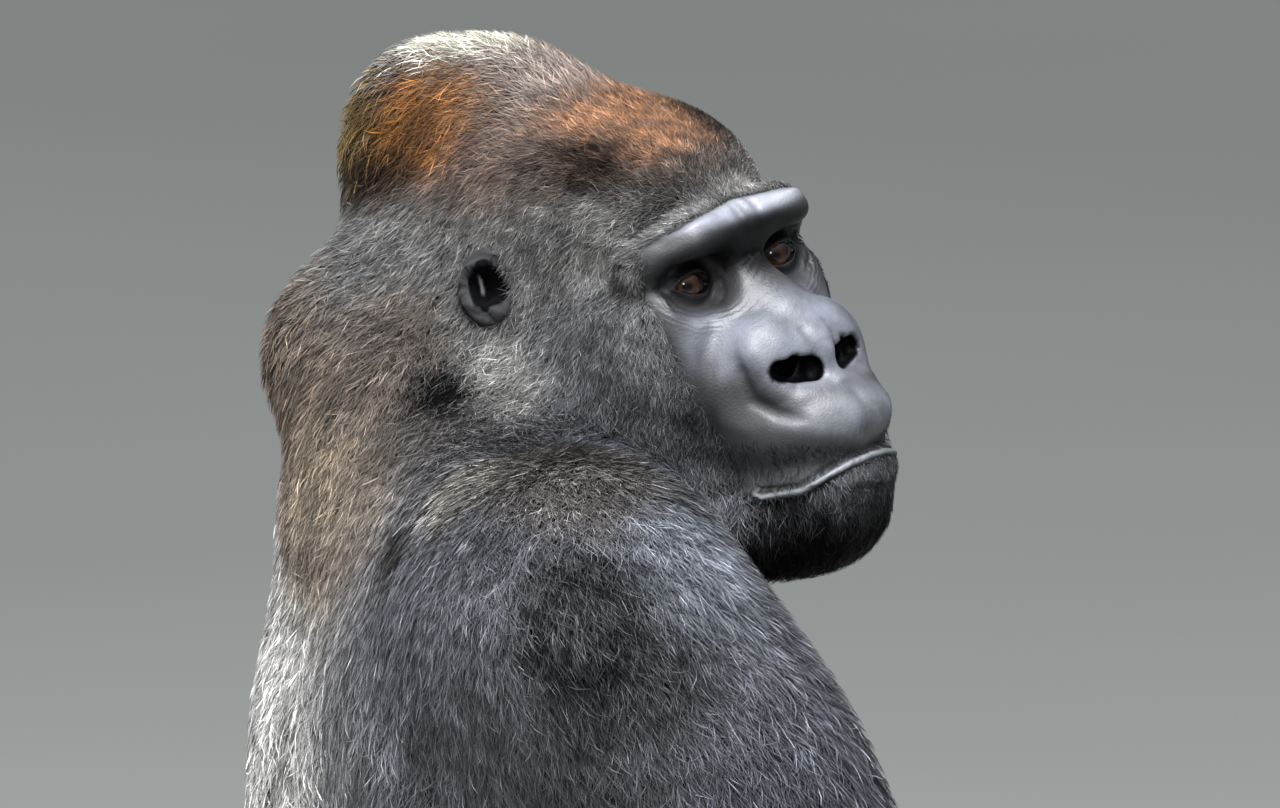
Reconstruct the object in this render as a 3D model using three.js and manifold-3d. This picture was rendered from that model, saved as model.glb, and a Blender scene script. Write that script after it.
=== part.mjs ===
// A seated adult male western lowland gorilla, life size, looking back over its
// right shoulder. The whole animal is one field of rounded masses (balls and
// tapered rods that melt into each other); each named part is the piece of that
// field reached by rays from its own spine, and parts meet at thin gaps.
// Lengths are in millimetres. Positions below are written (left, front, up):
// the animal's left, its front, and up from the floor.
import * as THREE from 'three';
import { mergeVertices } from 'three/addons/utils/BufferGeometryUtils.js';
import Module from 'manifold-3d';

const wasm = await Module();
wasm.setup();

// ---------------------------------------------------------------- dimensions
const GAP = 0.3;                       // clear space between neighbouring parts
const FILLET = 12;                     // how far a part may swell past its own masses
const EYE_CENTRE = [-112, 169, 944];   // midpoint between the eyes
const HEAD_YAW = 60, HEAD_PITCH = 12, HEAD_ROLL = 6;   // degrees: to the right, up, right side down
const EYE_HALF_SPACING = 36.5, EYE_DEPTH = 4, EYE_RADIUS = 14;
const SHOULDER = [226, 52, 768], ELBOW = [294, 304, 402], WRIST = [98, 405, 152], KNUCKLES = [100, 418, 66];
const LEFT_SHOULDER_CARRY = [0, 52, 4];    // the twist of the trunk carries the left shoulder forward
const HIP = [100, 0, 130], KNEE = [345, 205, 262], ANKLE = [258, 420, 80];
const NECK_BASE = 800, WAIST = 600, GROIN = 240;       // heights of the cuts across the trunk

// ------------------------------------------------------------ small vector maths
const add = (a, b) => a.map((v, i) => v + b[i]);
const sub = (a, b) => a.map((v, i) => v - b[i]);
const mul = (a, s) => a.map((v) => v * s);
const dot = (a, b) => a[0] * b[0] + a[1] * b[1] + a[2] * b[2];
const cross = (a, b) => [a[1] * b[2] - a[2] * b[1], a[2] * b[0] - a[0] * b[2], a[0] * b[1] - a[1] * b[0]];
const unit = (a) => mul(a, 1 / Math.hypot(...a));
const mix = (a, b, t) => a.map((v, i) => v + (b[i] - v) * t);
const flip = ([l, f, u]) => [-l, f, u];
const clamp = (v, lo, hi) => Math.min(Math.max(v, lo), hi);

// ------------------------------------------------------------------- the masses
// ball: an ellipsoid of half sizes (across, deep, long) whose long axis points along aim.
// rod: a tapered capsule. melt is the width over which a mass joins what came before it.
const ball = (at, size, melt = 30, aim = [0, 0, 1], hollow = false) => ({ at, size, melt, aim, hollow });
const rod = (a, b, ra, rb, melt = 30, hollow = false) => ({ a, b, ra, rb, melt, hollow });
const mirrored = (m) => (m.at ? { ...m, at: flip(m.at), aim: flip(m.aim) } : { ...m, a: flip(m.a), b: flip(m.b) });
const both = (m) => [m, mirrored(m)];

const lean = (degrees) => [Math.sin(degrees * Math.PI / 180), 0, Math.cos(degrees * Math.PI / 180)];

const trunkMasses = [
  ball([0, 88, 560], [196, 162, 180]),                              // ribs
  ball([0, 104, 350], [222, 190, 188], 90),                         // belly
  ball([0, 10, 165], [178, 135, 150], 70),                          // pelvis
  ball([0, 76, 690], [176, 142, 140], 60),                          // chest
  ...both(ball([86, -22, 92], [98, 100, 106], 50)),                // seat
  ball([-116, 6, 705], [92, 70, 125], 50, lean(-10)),               // right shoulder blade
  ball([104, 34, 700], [84, 64, 120], 50, lean(10)),                // left shoulder blade
  ball([-152, 50, 600], [68, 100, 140], 50),                        // flanks
  ball([150, 72, 600], [66, 100, 140], 50),
  ...both(ball([84, 160, 684], [86, 60, 75], 40)),                  // breast
  rod([-30, 16, 826], [-168, 50, 784], 68, 60, 50),                 // neck to shoulders
  rod([20, 64, 868], [180, 100, 800], 84, 64, 50),
  rod([0, 40, 780], [12, 96, 880], 104, 78, 50),                     // neck
  rod([-16, 4, 846], [50, 0, 868], 58, 69, 24),                    // nape
  rod([0, -32, 300], [0, -8, 660], 60, 60, 60),                     // spine
];

const armMasses = (shoulder) => {
  const down = unit(sub(ELBOW, shoulder)), fore = unit(sub(WRIST, ELBOW));
  return [
    ball(shoulder, [94, 90, 94], 45),
    rod(shoulder, ELBOW, 86, 70, 40),
    ball(mix(shoulder, ELBOW, 0.22), [93, 95, 130], 40, down),                 // deltoid
    ball(add(mix(shoulder, ELBOW, 0.5), [6, -22, 0]), [72, 70, 150], 30, down),   // triceps
    ball(add(mix(shoulder, ELBOW, 0.52), [-10, 22, 0]), [58, 54, 120], 25, down), // biceps
    ball(ELBOW, [70, 68, 70], 25),
    rod(ELBOW, WRIST, 68, 46, 25),
    ball(add(mix(ELBOW, WRIST, 0.32), [10, 0, 6]), [74, 68, 135], 25, fore),
    ball(WRIST, [48, 41, 44], 20),
    ball(add(WRIST, [2, 4, -46]), [56, 29, 60], 20),                           // palm and back of the hand
  ];
};

// Four fingers folded under, resting on their middle bones; the thumb lies beside them.
const FINGER_OFFSETS = [-40, -13.3, 13.3, 40], FINGER_REACH = [0, 6, 6, -2];
const fingerMasses = (i) => {
  const x = KNUCKLES[0] + FINGER_OFFSETS[i], f = KNUCKLES[1], reach = 40 + FINGER_REACH[i];
  return [
    rod([x, f, 66], [x, f + reach, 24], 17, 15, 10),
    rod([x, f + reach, 12], [x, f + 2, 11], 15, 14, 4),
    rod([x, f + 2, 12], [x, f - 12, 32], 14, 12, 4),
  ];
};
const thumbMasses = [rod(add(KNUCKLES, [-56, -4, 56]), add(KNUCKLES, [-66, 4, 8]), 15, 11, 10)];

const thighAim = unit(sub(KNEE, HIP)), shinAim = unit(sub(ANKLE, KNEE));
const legMasses = [
  rod(HIP, KNEE, 110, 82, 50),
  ball(add(mix(HIP, KNEE, 0.45), [0, 0, -6]), [92, 84, 150], 40, thighAim),
  ball(KNEE, [78, 78, 78], 30),
  rod(KNEE, ANKLE, 68, 46, 20),
  ball(add(mix(KNEE, ANKLE, 0.38), [4, -14, -8]), [60, 56, 115], 25, shinAim),   // calf
  ball(add(ANKLE, [-4, -30, -44]), [36, 44, 40], 25),                           // heel
  rod(add(ANKLE, [0, -6, -22]), add(ANKLE, [22, 100, -44]), 40, 28, 25),        // instep
  ball(add(ANKLE, [28, 110, -58]), [26, 54, 56], 20, [0.24, 0.97, 0]),          // forefoot
];
const TOE_ROOTS = [[4, 146], [28, 144], [51, 134], [72, 118]], TOE_LENGTHS = [46, 48, 44, 36];
const toeMasses = (i) => {
  const root = add(ANKLE, [...TOE_ROOTS[i], -66]);
  return [rod(root, add(root, [TOE_LENGTHS[i] * 0.28, TOE_LENGTHS[i], -3]), 16, 13, 7)];
};
const bigToeMasses = [rod(add(ANKLE, [-8, 56, -58]), add(ANKLE, [-46, 128, -67]), 24, 17, 14)];

// The head is written in its own frame, whose origin is the midpoint between the eyes.
const headMasses = [
  ball([0, -135, 32], [74, 108, 74], 0),                            // brain case
  rod([0, -44, 36], [0, -150, 90], 52, 50, 40),                     // forehead
  ball([0, -188, 86], [48, 88, 66], 36),                            // crest
  ball([0, -214, 96], [42, 58, 54], 24),
  ball([0, -224, 66], [46, 60, 64], 24),
  ...both(ball([50, -95, 36], [34, 74, 56], 30)),                   // temples
  ball([0, -200, 16], [70, 62, 66], 40),                            // back of the skull
  ball([0, -28, -42], [58, 62, 72], 30),                            // face
  ...both(ball([53, -24, -16], [24, 32, 22], 22)),                  // cheekbones
  ...both(ball([54, -30, -50], [27, 38, 42], 30)),                  // cheeks
  ...both(ball([56, -76, -48], [34, 52, 60], 30)),                  // jaw muscles
  ...both(rod([22, 12, -142], [60, -88, -92], 32, 40, 30)),         // jaw
  ball([0, 10, -66], [55, 50, 48], 24),                             // muzzle
  ball([0, 41, -92], [47, 44, 30], 16),                             // upper lip
  ball([0, 37, -123], [44, 47, 24], 10),                            // lower lip
  ball([0, 28, -148], [42, 42, 32], 22),                            // chin
  rod([-36, 12, 27], [36, 12, 27], 15, 15, 14),                     // brow
  ...both(rod([36, 12, 27], [63, -12, 17], 15, 13, 8)),
  ...both(ball([EYE_HALF_SPACING, 16, -1], [21, 17, 14.5], 9, [0, 0, 1], true)),   // eye sockets
  ...both(ball([EYE_HALF_SPACING, -11, 0], [17, 15, 14], 6)),
  rod([0, -8, 4], [0, 34, -34], 11, 19, 12),                        // bridge of the nose
  ...both(ball([22, 37, -53], [23, 23, 29], 7)),                    // wings of the nose
  ball([0, 51, -49], [17, 14, 16], 10),                             // tip of the nose
  ...both(rod([10, 60, -60], [33, 53, -56], 7.5, 6.5, 4, true)),     // nostrils
];

// An ear: a shallow plate with a rolled rim, open towards the front.
const EAR = [92, -104, 20], EAR_ACROSS = 14.5, EAR_HEIGHT = 18.5, RIM = 3.4;
const EAR_OUT = unit([0.86, 0.5, 0.1]), EAR_BACK = unit([0.5, -0.86, 0]), EAR_UP = cross(EAR_BACK, EAR_OUT);
const earPoint = (out, back, up) => add(EAR, add(mul(EAR_OUT, out), add(mul(EAR_BACK, back), mul(EAR_UP, up))));
const rimPoint = (turn) => earPoint(5.5 + 2 * Math.cos(turn), EAR_ACROSS * Math.cos(turn), EAR_HEIGHT * Math.sin(turn));
const rimTurns = Array.from({ length: 10 }, (_, i) => (-100 + 30 * i) * Math.PI / 180);
const earMasses = [
  ball(earPoint(-3, 0, 0), [EAR_ACROSS + 1, EAR_HEIGHT + 1, 8], 0, EAR_OUT),
  ...rimTurns.slice(1).map((turn, i) => rod(rimPoint(rimTurns[i]), rimPoint(turn), RIM, RIM, 3)),
  rod(earPoint(1, -8, -16), earPoint(1, -4, -8), 5, 4, 4),
  ball(earPoint(5, -3, -1), [9.5, 14, 7.5], 2.5, EAR_OUT, true),     // the hollow
  rod(earPoint(3, -12.5, -5), earPoint(3, -12.5, 3), 3.2, 3, 3),     // the flap in front of it
];

// --------------------------------------------------------------- from head to body
const yaw = HEAD_YAW * Math.PI / 180, pitch = HEAD_PITCH * Math.PI / 180, roll = HEAD_ROLL * Math.PI / 180;
const HEAD_FRONT = [-Math.sin(yaw) * Math.cos(pitch), Math.cos(yaw) * Math.cos(pitch), Math.sin(pitch)];
const levelLeft = [Math.cos(yaw), Math.sin(yaw), 0], levelUp = cross(levelLeft, HEAD_FRONT);
const HEAD_LEFT = add(mul(levelLeft, Math.cos(roll)), mul(levelUp, Math.sin(roll)));
const HEAD_UP = add(mul(levelLeft, -Math.sin(roll)), mul(levelUp, Math.cos(roll)));
const bodyFrame = { origin: [0, 0, 0], axes: [[1, 0, 0], [0, 1, 0], [0, 0, 1]] };
const headFrame = { origin: EYE_CENTRE, axes: [HEAD_LEFT, HEAD_FRONT, HEAD_UP] };
const turned = ({ axes }, v) => add(add(mul(axes[0], v[0]), mul(axes[1], v[1])), mul(axes[2], v[2]));
const placed = (frame, p) => add(frame.origin, turned(frame, p));

// A ball's three axes: long along aim, across level with the frame's front, deep square to both.
function ballAxes(aim) {
  const long = unit(aim);
  const across = unit(cross(Math.abs(long[1]) < 0.95 ? [0, 1, 0] : [0, 0, 1], long));
  return [across, cross(long, across), long];
}
// A mass in body space, with the middle and radius of a sphere that holds it.
const settle = (frame, masses) => masses.map((m) => {
  if (m.at) {
    return { ...m, at: placed(frame, m.at), axes: ballAxes(m.aim).map((a) => turned(frame, a)),
      middle: placed(frame, m.at), bound: Math.max(...m.size) };
  }
  const a = placed(frame, m.a), b = placed(frame, m.b);
  return { ...m, a, b, middle: mix(a, b, 0.5), bound: Math.hypot(...sub(b, a)) / 2 + Math.max(m.ra, m.rb) };
});

// ---------------------------------------------------------------------- the field
// Roughly the distance to a mass: negative inside, positive outside.
function distance(m, p) {
  if (m.at) {
    const x = p[0] - m.at[0], y = p[1] - m.at[1], z = p[2] - m.at[2];
    let near = 0, steep = 0;
    for (let i = 0; i < 3; i++) {
      const c = (x * m.axes[i][0] + y * m.axes[i][1] + z * m.axes[i][2]) / m.size[i];
      near += c * c;
      steep += (c / m.size[i]) ** 2;
    }
    near = Math.sqrt(near);
    return steep > 1e-18 ? near * (near - 1) / Math.sqrt(steep) : -Math.min(...m.size);
  }
  const { a, b } = m, ux = b[0] - a[0], uy = b[1] - a[1], uz = b[2] - a[2];
  const x = p[0] - a[0], y = p[1] - a[1], z = p[2] - a[2];
  const t = clamp((x * ux + y * uy + z * uz) / (ux * ux + uy * uy + uz * uz), 0, 1);
  return Math.hypot(x - ux * t, y - uy * t, z - uz * t) - (m.ra + (m.rb - m.ra) * t);
}
const meltIn = (a, b, k) => { const h = Math.max(k - Math.abs(a - b), 0); return Math.min(a, b) - h * h / (4 * Math.max(k, 1e-6)); };
const meltOut = (a, b, k) => -meltIn(-a, -b, k);
function fieldOf(masses) {
  return (p) => {
    let d = 1e3;
    for (const m of masses) {
      const clear = Math.hypot(p[0] - m.middle[0], p[1] - m.middle[1], p[2] - m.middle[2]) - m.bound;
      if (clear > (m.hollow ? 0 : Math.max(d, 0)) + m.melt + 20) continue;      // too far away to matter
      d = m.hollow ? meltOut(d, -distance(m, p), m.melt) : meltIn(d, distance(m, p), m.melt);
    }
    return d;
  };
}

// Limbs melt into the trunk near their joint only, so that an arm never sticks to a knee.
const group = (masses, frame, melt, joint, reach) => ({ field: fieldOf(settle(frame, masses)), melt, joint, reach });
const leftShoulder = add(SHOULDER, LEFT_SHOULDER_CARRY), rightShoulder = flip(SHOULDER);
const mirror = (masses) => masses.map(mirrored);
const allFingers = [0, 1, 2, 3].flatMap(fingerMasses).concat(thumbMasses);
const allToes = [0, 1, 2, 3].flatMap(toeMasses).concat(bigToeMasses);
const trunk = group(trunkMasses, bodyFrame, 0);
const skull = group(headMasses, headFrame, 40);
const arms = { left: armMasses(leftShoulder), right: mirror(armMasses(SHOULDER)) };
const legs = { left: legMasses, right: mirror(legMasses) };
const groups = [
  trunk, skull,
  group([...arms.left, ...allFingers], bodyFrame, 50, leftShoulder, 300),
  group([...arms.right, ...mirror(allFingers)], bodyFrame, 50, rightShoulder, 300),
  group([...legs.left, ...allToes], bodyFrame, 50, HIP, 330),
  group([...legs.right, ...mirror(allToes)], bodyFrame, 50, flip(HIP), 330),
];
function whole(p) {
  let d = groups[0].field(p);
  for (const g of groups.slice(1)) {
    const fade = g.joint ? clamp((g.reach - Math.hypot(...sub(p, g.joint))) / (0.5 * g.reach), 0.06, 1) : 1;
    d = meltIn(d, g.field(p), g.melt * fade);
  }
  return Math.max(d, -p[2]);
}
// The part of the whole animal that belongs to one set of masses.
const share = (own, swell = FILLET) => (p) => Math.max(whole(p), own(p) - swell);
const onFloor = (own) => (p) => Math.max(own(p), -p[2]);
// Neighbouring digits are parted half way between them.
const parted = (own, others) => (p) => others.reduce((d, other) => Math.max(d, (own(p) - other(p)) / 2 + GAP), onFloor(own)(p));

// ------------------------------------------------------------------ rays to solids
// How far a ray runs before it leaves the field, at most reach.
function exit(field, from, along, reach) {
  let near = 0, far = 0;
  while (far < reach) {
    const d = field(add(from, mul(along, far)));
    if (d > 0) break;
    near = far;
    far += Math.max(-d * 0.7, 1.5);
  }
  if (far >= reach && field(add(from, mul(along, reach))) <= 0) return reach;
  for (let i = 0; i < 18; i++) {
    const middle = (near + far) / 2;
    if (field(add(from, mul(along, middle))) > 0) far = middle; else near = middle;
  }
  return Math.max(near, 0.6);
}

// A closed shell round the spine a-b: rings of rays square to it, and a fan of tilted rings at each end.
function shell(field, a, b, { rings = 8, sides = 16, cap = 4, reach = 150, grow = 0, start = [1, 0, 0] } = {}) {
  const along = unit(sub(b, a)), across = unit(cross(along, start)), third = cross(along, across);
  const stations = [];
  for (let i = 1; i < cap; i++) stations.push([a, -Math.PI / 2 + i * Math.PI / 2 / cap]);
  for (let i = 0; i <= rings; i++) stations.push([mix(a, b, i / rings), 0]);
  for (let i = 1; i < cap; i++) stations.push([b, i * Math.PI / 2 / cap]);
  const points = [];
  const cast = (from, ray) => {
    const p = add(from, mul(ray, exit((q) => field(q) - grow, from, ray, reach + grow)));
    points.push(grow === 0 && p[2] < 0.02 ? [p[0], p[1], 0] : p);
  };
  cast(a, mul(along, -1));
  for (const [from, tilt] of stations) {
    for (let j = 0; j < sides; j++) {
      const turn = 2 * Math.PI * j / sides;
      const out = add(mul(across, Math.cos(turn)), mul(third, Math.sin(turn)));
      cast(from, unit(add(mul(out, Math.cos(tilt)), mul(along, Math.sin(tilt)))));
    }
  }
  cast(b, along);
  const at = (ring, j) => 1 + ring * sides + (j % sides), last = points.length - 1, faces = [];
  for (let j = 0; j < sides; j++) {
    faces.push([0, at(0, j + 1), at(0, j)], [last, at(stations.length - 1, j), at(stations.length - 1, j + 1)]);
    for (let i = 0; i < stations.length - 1; i++) {
      faces.push([at(i, j), at(i, j + 1), at(i + 1, j + 1)], [at(i, j), at(i + 1, j + 1), at(i + 1, j)]);
    }
  }
  return solid(points, faces);
}

// Design space (left, front, up) becomes x = left, y = -front, z = up, which turns every face over.
function solid(points, faces) {
  const vertProperties = new Float32Array(points.flatMap(([l, f, u]) => [l, -f, u]));
  const triVerts = new Uint32Array(faces.flatMap(([i, j, k]) => [i, k, j]));
  return new wasm.Manifold(new wasm.Mesh({ numProp: 3, vertProperties, triVerts }));
}
const toRow = ([l, f, u]) => new THREE.Vector3(l, -f, u);
function fromGeometry(geometry) {
  geometry.deleteAttribute('normal');
  geometry.deleteAttribute('uv');
  const merged = mergeVertices(geometry, 1e-4);
  return new wasm.Manifold(new wasm.Mesh({ numProp: 3, vertProperties: new Float32Array(merged.attributes.position.array),
    triVerts: new Uint32Array(merged.index.array) }));
}
// The half of space beyond a plane, as a large block: it is kept by intersecting with it.
function beyond(point, normal, shift = GAP / 2, size = 1600) {
  const n = toRow(unit(normal)), block = new THREE.BoxGeometry(size, size, size);
  block.translate(0, 0, size / 2 + shift);
  block.applyQuaternion(new THREE.Quaternion().setFromUnitVectors(new THREE.Vector3(0, 0, 1), n));
  const p = toRow(point);
  block.translate(p.x, p.y, p.z);
  return fromGeometry(block);
}
const keep = (piece, point, normal) => piece.intersect(beyond(point, normal));
// Neighbours in a row of digits are parted by planes half way between their roots.
function between(piece, i, roots, across) {
  let p = piece;
  if (i > 0) p = keep(p, mix(roots[i - 1], roots[i], 0.5), across);
  if (i < roots.length - 1) p = keep(p, mix(roots[i], roots[i + 1], 0.5), mul(across, -1));
  return p;
}
const cut = (piece, ...tools) => tools.reduce((p, tool) => p.subtract(tool), piece);
const eyeball = (side, radius, across = 12, down = 8) => {
  const g = new THREE.SphereGeometry(radius, across, down), p = toRow(placed(headFrame, [side * EYE_HALF_SPACING, -EYE_DEPTH, 0]));
  g.translate(p.x, p.y, p.z);
  return fromGeometry(g);
};

// ----------------------------------------------------------------------- materials
const paint = (name, color, roughness) => new THREE.MeshStandardMaterial({ name, color, roughness, metalness: 0 });
const coat = paint('coat', 0x2b2a2c, 0.8), crown = paint('crown', 0x5a3824, 0.8), saddle = paint('saddle', 0x8f8b86, 0.8);
const bare = paint('bare_skin', 0x26272b, 0.45), eyes = paint('eye', 0x2a1408, 0.1);

// A cut can shave off a crumb: only the body with the most faces is kept.
function oneBody(triangles, count) {
  const parent = Array.from({ length: count }, (_, i) => i);
  const root = (i) => { while (parent[i] !== i) i = parent[i] = parent[parent[i]]; return i; };
  for (let i = 0; i < triangles.length; i += 3) {
    parent[root(triangles[i + 1])] = root(triangles[i]);
    parent[root(triangles[i + 2])] = root(triangles[i]);
  }
  const faces = new Map();
  for (let i = 0; i < triangles.length; i += 3) {
    const r = root(triangles[i]);
    if (!faces.has(r)) faces.set(r, []);
    faces.get(r).push(triangles[i], triangles[i + 1], triangles[i + 2]);
  }
  return [...faces.values()].sort((p, q) => q.length - p.length)[0];
}

const gorilla = new THREE.Group();
function part(name, piece, material) {
  const mesh = piece.getMesh(), geometry = new THREE.BufferGeometry();
  geometry.setAttribute('position', new THREE.BufferAttribute(new Float32Array(mesh.vertProperties), 3));
  geometry.setIndex(oneBody(mesh.triVerts, mesh.vertProperties.length / 3));
  const body = new THREE.Mesh(geometry, material);
  body.name = name;
  gorilla.add(body);
}

// ------------------------------------------------------------------- head and neck
const inHead = (p) => placed(headFrame, p), headTurn = (v) => turned(headFrame, v);
const skullShell = (grow) => shell(share(skull.field), inHead([0, -165, 20]), inHead([0, 0, -62]),
  { rings: 11, sides: 28, cap: 8, reach: 200, grow, start: HEAD_LEFT });
const trunkShell = (grow) => shell(share(trunk.field), [0, 55, 120], [0, 70, 830],
  { rings: 14, sides: 22, cap: 4, reach: 300, grow });
const headTool = skullShell(GAP), trunkTool = trunkShell(GAP);
const wholeHead = cut(skullShell(0), eyeball(-1, EYE_RADIUS + GAP), eyeball(1, EYE_RADIUS + GAP));
const MOUTH = [0, 60, -112], JAW_NORMAL = [0, -0.22, 1];
part('head', keep(wholeHead, inHead(MOUTH), headTurn(JAW_NORMAL)), crown);
part('jaw', keep(wholeHead, inHead(MOUTH), headTurn(mul(JAW_NORMAL, -1))), bare);
for (const [name, side] of [['right', -1], ['left', 1]]) {
  part(`eye_${name}`, eyeball(side, EYE_RADIUS), eyes);
  const masses = side > 0 ? earMasses : mirror(earMasses), out = side > 0 ? EAR_OUT : flip(EAR_OUT);
  const middle = side > 0 ? EAR : flip(EAR);
  const ear = shell(fieldOf(settle(headFrame, masses)), inHead(add(middle, mul(out, -4.5))), inHead(add(middle, mul(out, -1.5))),
    { rings: 1, sides: 12, cap: 3, reach: 40, start: HEAD_UP });
  part(`ear_${name}`, cut(ear, headTool, trunkTool), bare);
}

// --------------------------------------------------------------------------- trunk
const torso = cut(trunkShell(0), headTool);
const UP = [0, 0, 1], DOWN = [0, 0, -1];
part('neck', keep(torso, [0, 0, NECK_BASE], UP), coat);
part('chest', keep(keep(torso, [0, 0, NECK_BASE], DOWN), [0, 0, WAIST], UP), saddle);
part('belly', keep(keep(torso, [0, 0, WAIST], DOWN), [0, 0, GROIN], UP), saddle);
part('pelvis', keep(torso, [0, 0, GROIN], DOWN), coat);

// --------------------------------------------------------------------------- limbs
const bend = (a, joint, b) => unit(add(unit(sub(joint, a)), unit(sub(b, joint))));
for (const name of ['right', 'left']) {
  const side = name === 'left' ? (v) => v : flip, field = (masses) => fieldOf(settle(bodyFrame, masses));
  const shoulder = name === 'left' ? leftShoulder : rightShoulder, elbow = side(ELBOW), wrist = side(WRIST);
  const palm = side(add(KNUCKLES, [0, -2, 14]));
  const arm = share(field(arms[name]));
  const elbowBend = bend(shoulder, elbow, wrist), wristBend = bend(elbow, wrist, palm);
  const upper = shell(arm, shoulder, elbow, { rings: 6, sides: 12, cap: 3, reach: 150 });
  part(`upper_arm_${name}`, keep(cut(upper, trunkTool, headTool), elbow, mul(elbowBend, -1)), coat);
  const fore = shell(arm, elbow, wrist, { rings: 6, sides: 12, cap: 3, reach: 120 });
  part(`forearm_${name}`, keep(keep(fore, elbow, elbowBend), wrist, mul(wristBend, -1)), coat);
  const hand = shell(share(field(arms[name])), wrist, palm, { rings: 4, sides: 12, cap: 3, reach: 80 });
  const knuckleLine = [0, 0, KNUCKLES[2] - 4], thumbSide = side([KNUCKLES[0] - 52, 0, 0]), outward = side([1, 0, 0]);
  part(`hand_${name}`, keep(keep(keep(hand, wrist, wristBend), knuckleLine, UP), thumbSide, outward), bare);
  const fingers = [0, 1, 2, 3].map((i) => field(fingerMasses(i).map((m) => (name === 'left' ? m : mirrored(m)))));
  ['index', 'middle', 'ring', 'little'].forEach((finger, i) => {
    const roots = FINGER_OFFSETS.map((x) => side(add(KNUCKLES, [x, 0, 0])));
    const piece = shell(parted(fingers[i], fingers.filter((_, j) => Math.abs(j - i) === 1)),
      add(roots[i], [0, 6, -16]), add(roots[i], [0, 24, -44]), { rings: 2, sides: 8, cap: 2, reach: 60 });
    part(`finger_${finger}_${name}`, keep(between(piece, i, roots, outward), knuckleLine, DOWN), bare);
  });
  const thumb = thumbMasses.map((m) => (name === 'left' ? m : mirrored(m)));
  const thumbShell = shell(parted(field(thumb), [fingers[0]]), thumb[0].a, thumb[0].b, { rings: 2, sides: 8, cap: 2, reach: 40 });
  part(`thumb_${name}`, keep(thumbShell, thumbSide, mul(outward, -1)), bare);

  const hip = side(HIP), knee = side(KNEE), ankle = side(ANKLE);
  const leg = share(field(legs[name])), instep = side(add(ANKLE, [26, 100, -56]));
  const kneeBend = bend(hip, knee, ankle), ankleBend = bend(knee, ankle, side(add(ANKLE, [22, 100, -44])));
  const thigh = shell(leg, hip, knee, { rings: 5, sides: 12, cap: 3, reach: 165 });
  part(`thigh_${name}`, keep(cut(thigh, trunkTool), knee, mul(kneeBend, -1)), coat);
  const shin = shell(leg, knee, ankle, { rings: 5, sides: 12, cap: 3, reach: 120 });
  part(`shin_${name}`, keep(keep(shin, knee, kneeBend), ankle, mul(ankleBend, -1)), coat);
  const footShell = (grow) => shell(share(field(legs[name])), side(add(ANKLE, [-2, -24, -46])), instep,
    { rings: 5, sides: 12, cap: 3, reach: 90, grow });
  const toeLine = side(add(ANKLE, [40, 138, 0])), onward = side([0.38, 0.925, 0]);
  part(`foot_${name}`, keep(keep(footShell(0), ankle, ankleBend), toeLine, mul(onward, -1)), bare);
  const toes = [bigToeMasses, ...[0, 1, 2, 3].map(toeMasses)].map((masses) => (name === 'left' ? masses : mirror(masses)));
  toes.forEach(([toe], i) => {
    const near = toes.filter((_, j) => Math.abs(j - i) === 1).map(field);
    const piece = shell(parted(field([toe]), near), toe.a, toe.b, { rings: 2, sides: 8, cap: 2, reach: 40, start: UP });
    const roots = toes.slice(1).map(([m]) => m.a), acrossToes = side(unit([1, -0.28, 0]));
    part(`toe_${i + 1}_${name}`, i === 0 ? cut(piece, footShell(GAP)) : keep(between(piece, i - 1, roots, acrossToes), toeLine, onward), bare);
  });
}

// ------------------------------------------------------- origin under the middle of the box
gorilla.updateMatrixWorld(true);
const box = new THREE.Box3().setFromObject(gorilla), centre = box.getCenter(new THREE.Vector3());
gorilla.position.set(-centre.x, -centre.y, -box.min.z);
gorilla.updateMatrixWorld(true);

export default gorilla;
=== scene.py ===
# %% [markdown]
# # A silverback looking back over its shoulder
# A life-size, seated adult male western lowland gorilla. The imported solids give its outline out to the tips
# of the hair. This file lays one seamless skin inside them, sets in the eyes and nails, and grows the coat
# as joined mesh tufts between the skin and the outline.

# %% The frame
import math
import bmesh
import bpy
import numpy as np
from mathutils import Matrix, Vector


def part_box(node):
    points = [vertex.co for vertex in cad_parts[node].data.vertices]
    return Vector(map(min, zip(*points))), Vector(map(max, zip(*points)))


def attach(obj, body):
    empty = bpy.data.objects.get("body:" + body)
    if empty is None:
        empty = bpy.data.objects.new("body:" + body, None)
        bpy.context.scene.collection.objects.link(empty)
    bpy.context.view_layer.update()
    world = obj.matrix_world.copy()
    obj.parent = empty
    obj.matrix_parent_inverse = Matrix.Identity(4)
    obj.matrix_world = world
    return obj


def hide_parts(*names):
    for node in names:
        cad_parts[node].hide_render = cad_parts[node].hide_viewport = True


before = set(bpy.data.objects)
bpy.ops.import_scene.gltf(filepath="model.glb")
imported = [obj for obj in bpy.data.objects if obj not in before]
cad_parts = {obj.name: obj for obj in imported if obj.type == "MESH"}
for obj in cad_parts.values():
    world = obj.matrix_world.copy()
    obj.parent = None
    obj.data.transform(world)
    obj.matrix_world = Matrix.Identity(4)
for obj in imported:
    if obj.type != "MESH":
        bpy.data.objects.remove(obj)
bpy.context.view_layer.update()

# %% [markdown]
# ## Sizes and the head's own axes
# Everything is designed in millimetres as (left, front, up). The head has its own axes, turned to the right,
# tipped up and rolled a little; their origin is the midpoint between the eyes. The eyes' solids say where
# that point stands in the row frame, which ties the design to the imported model.

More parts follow.
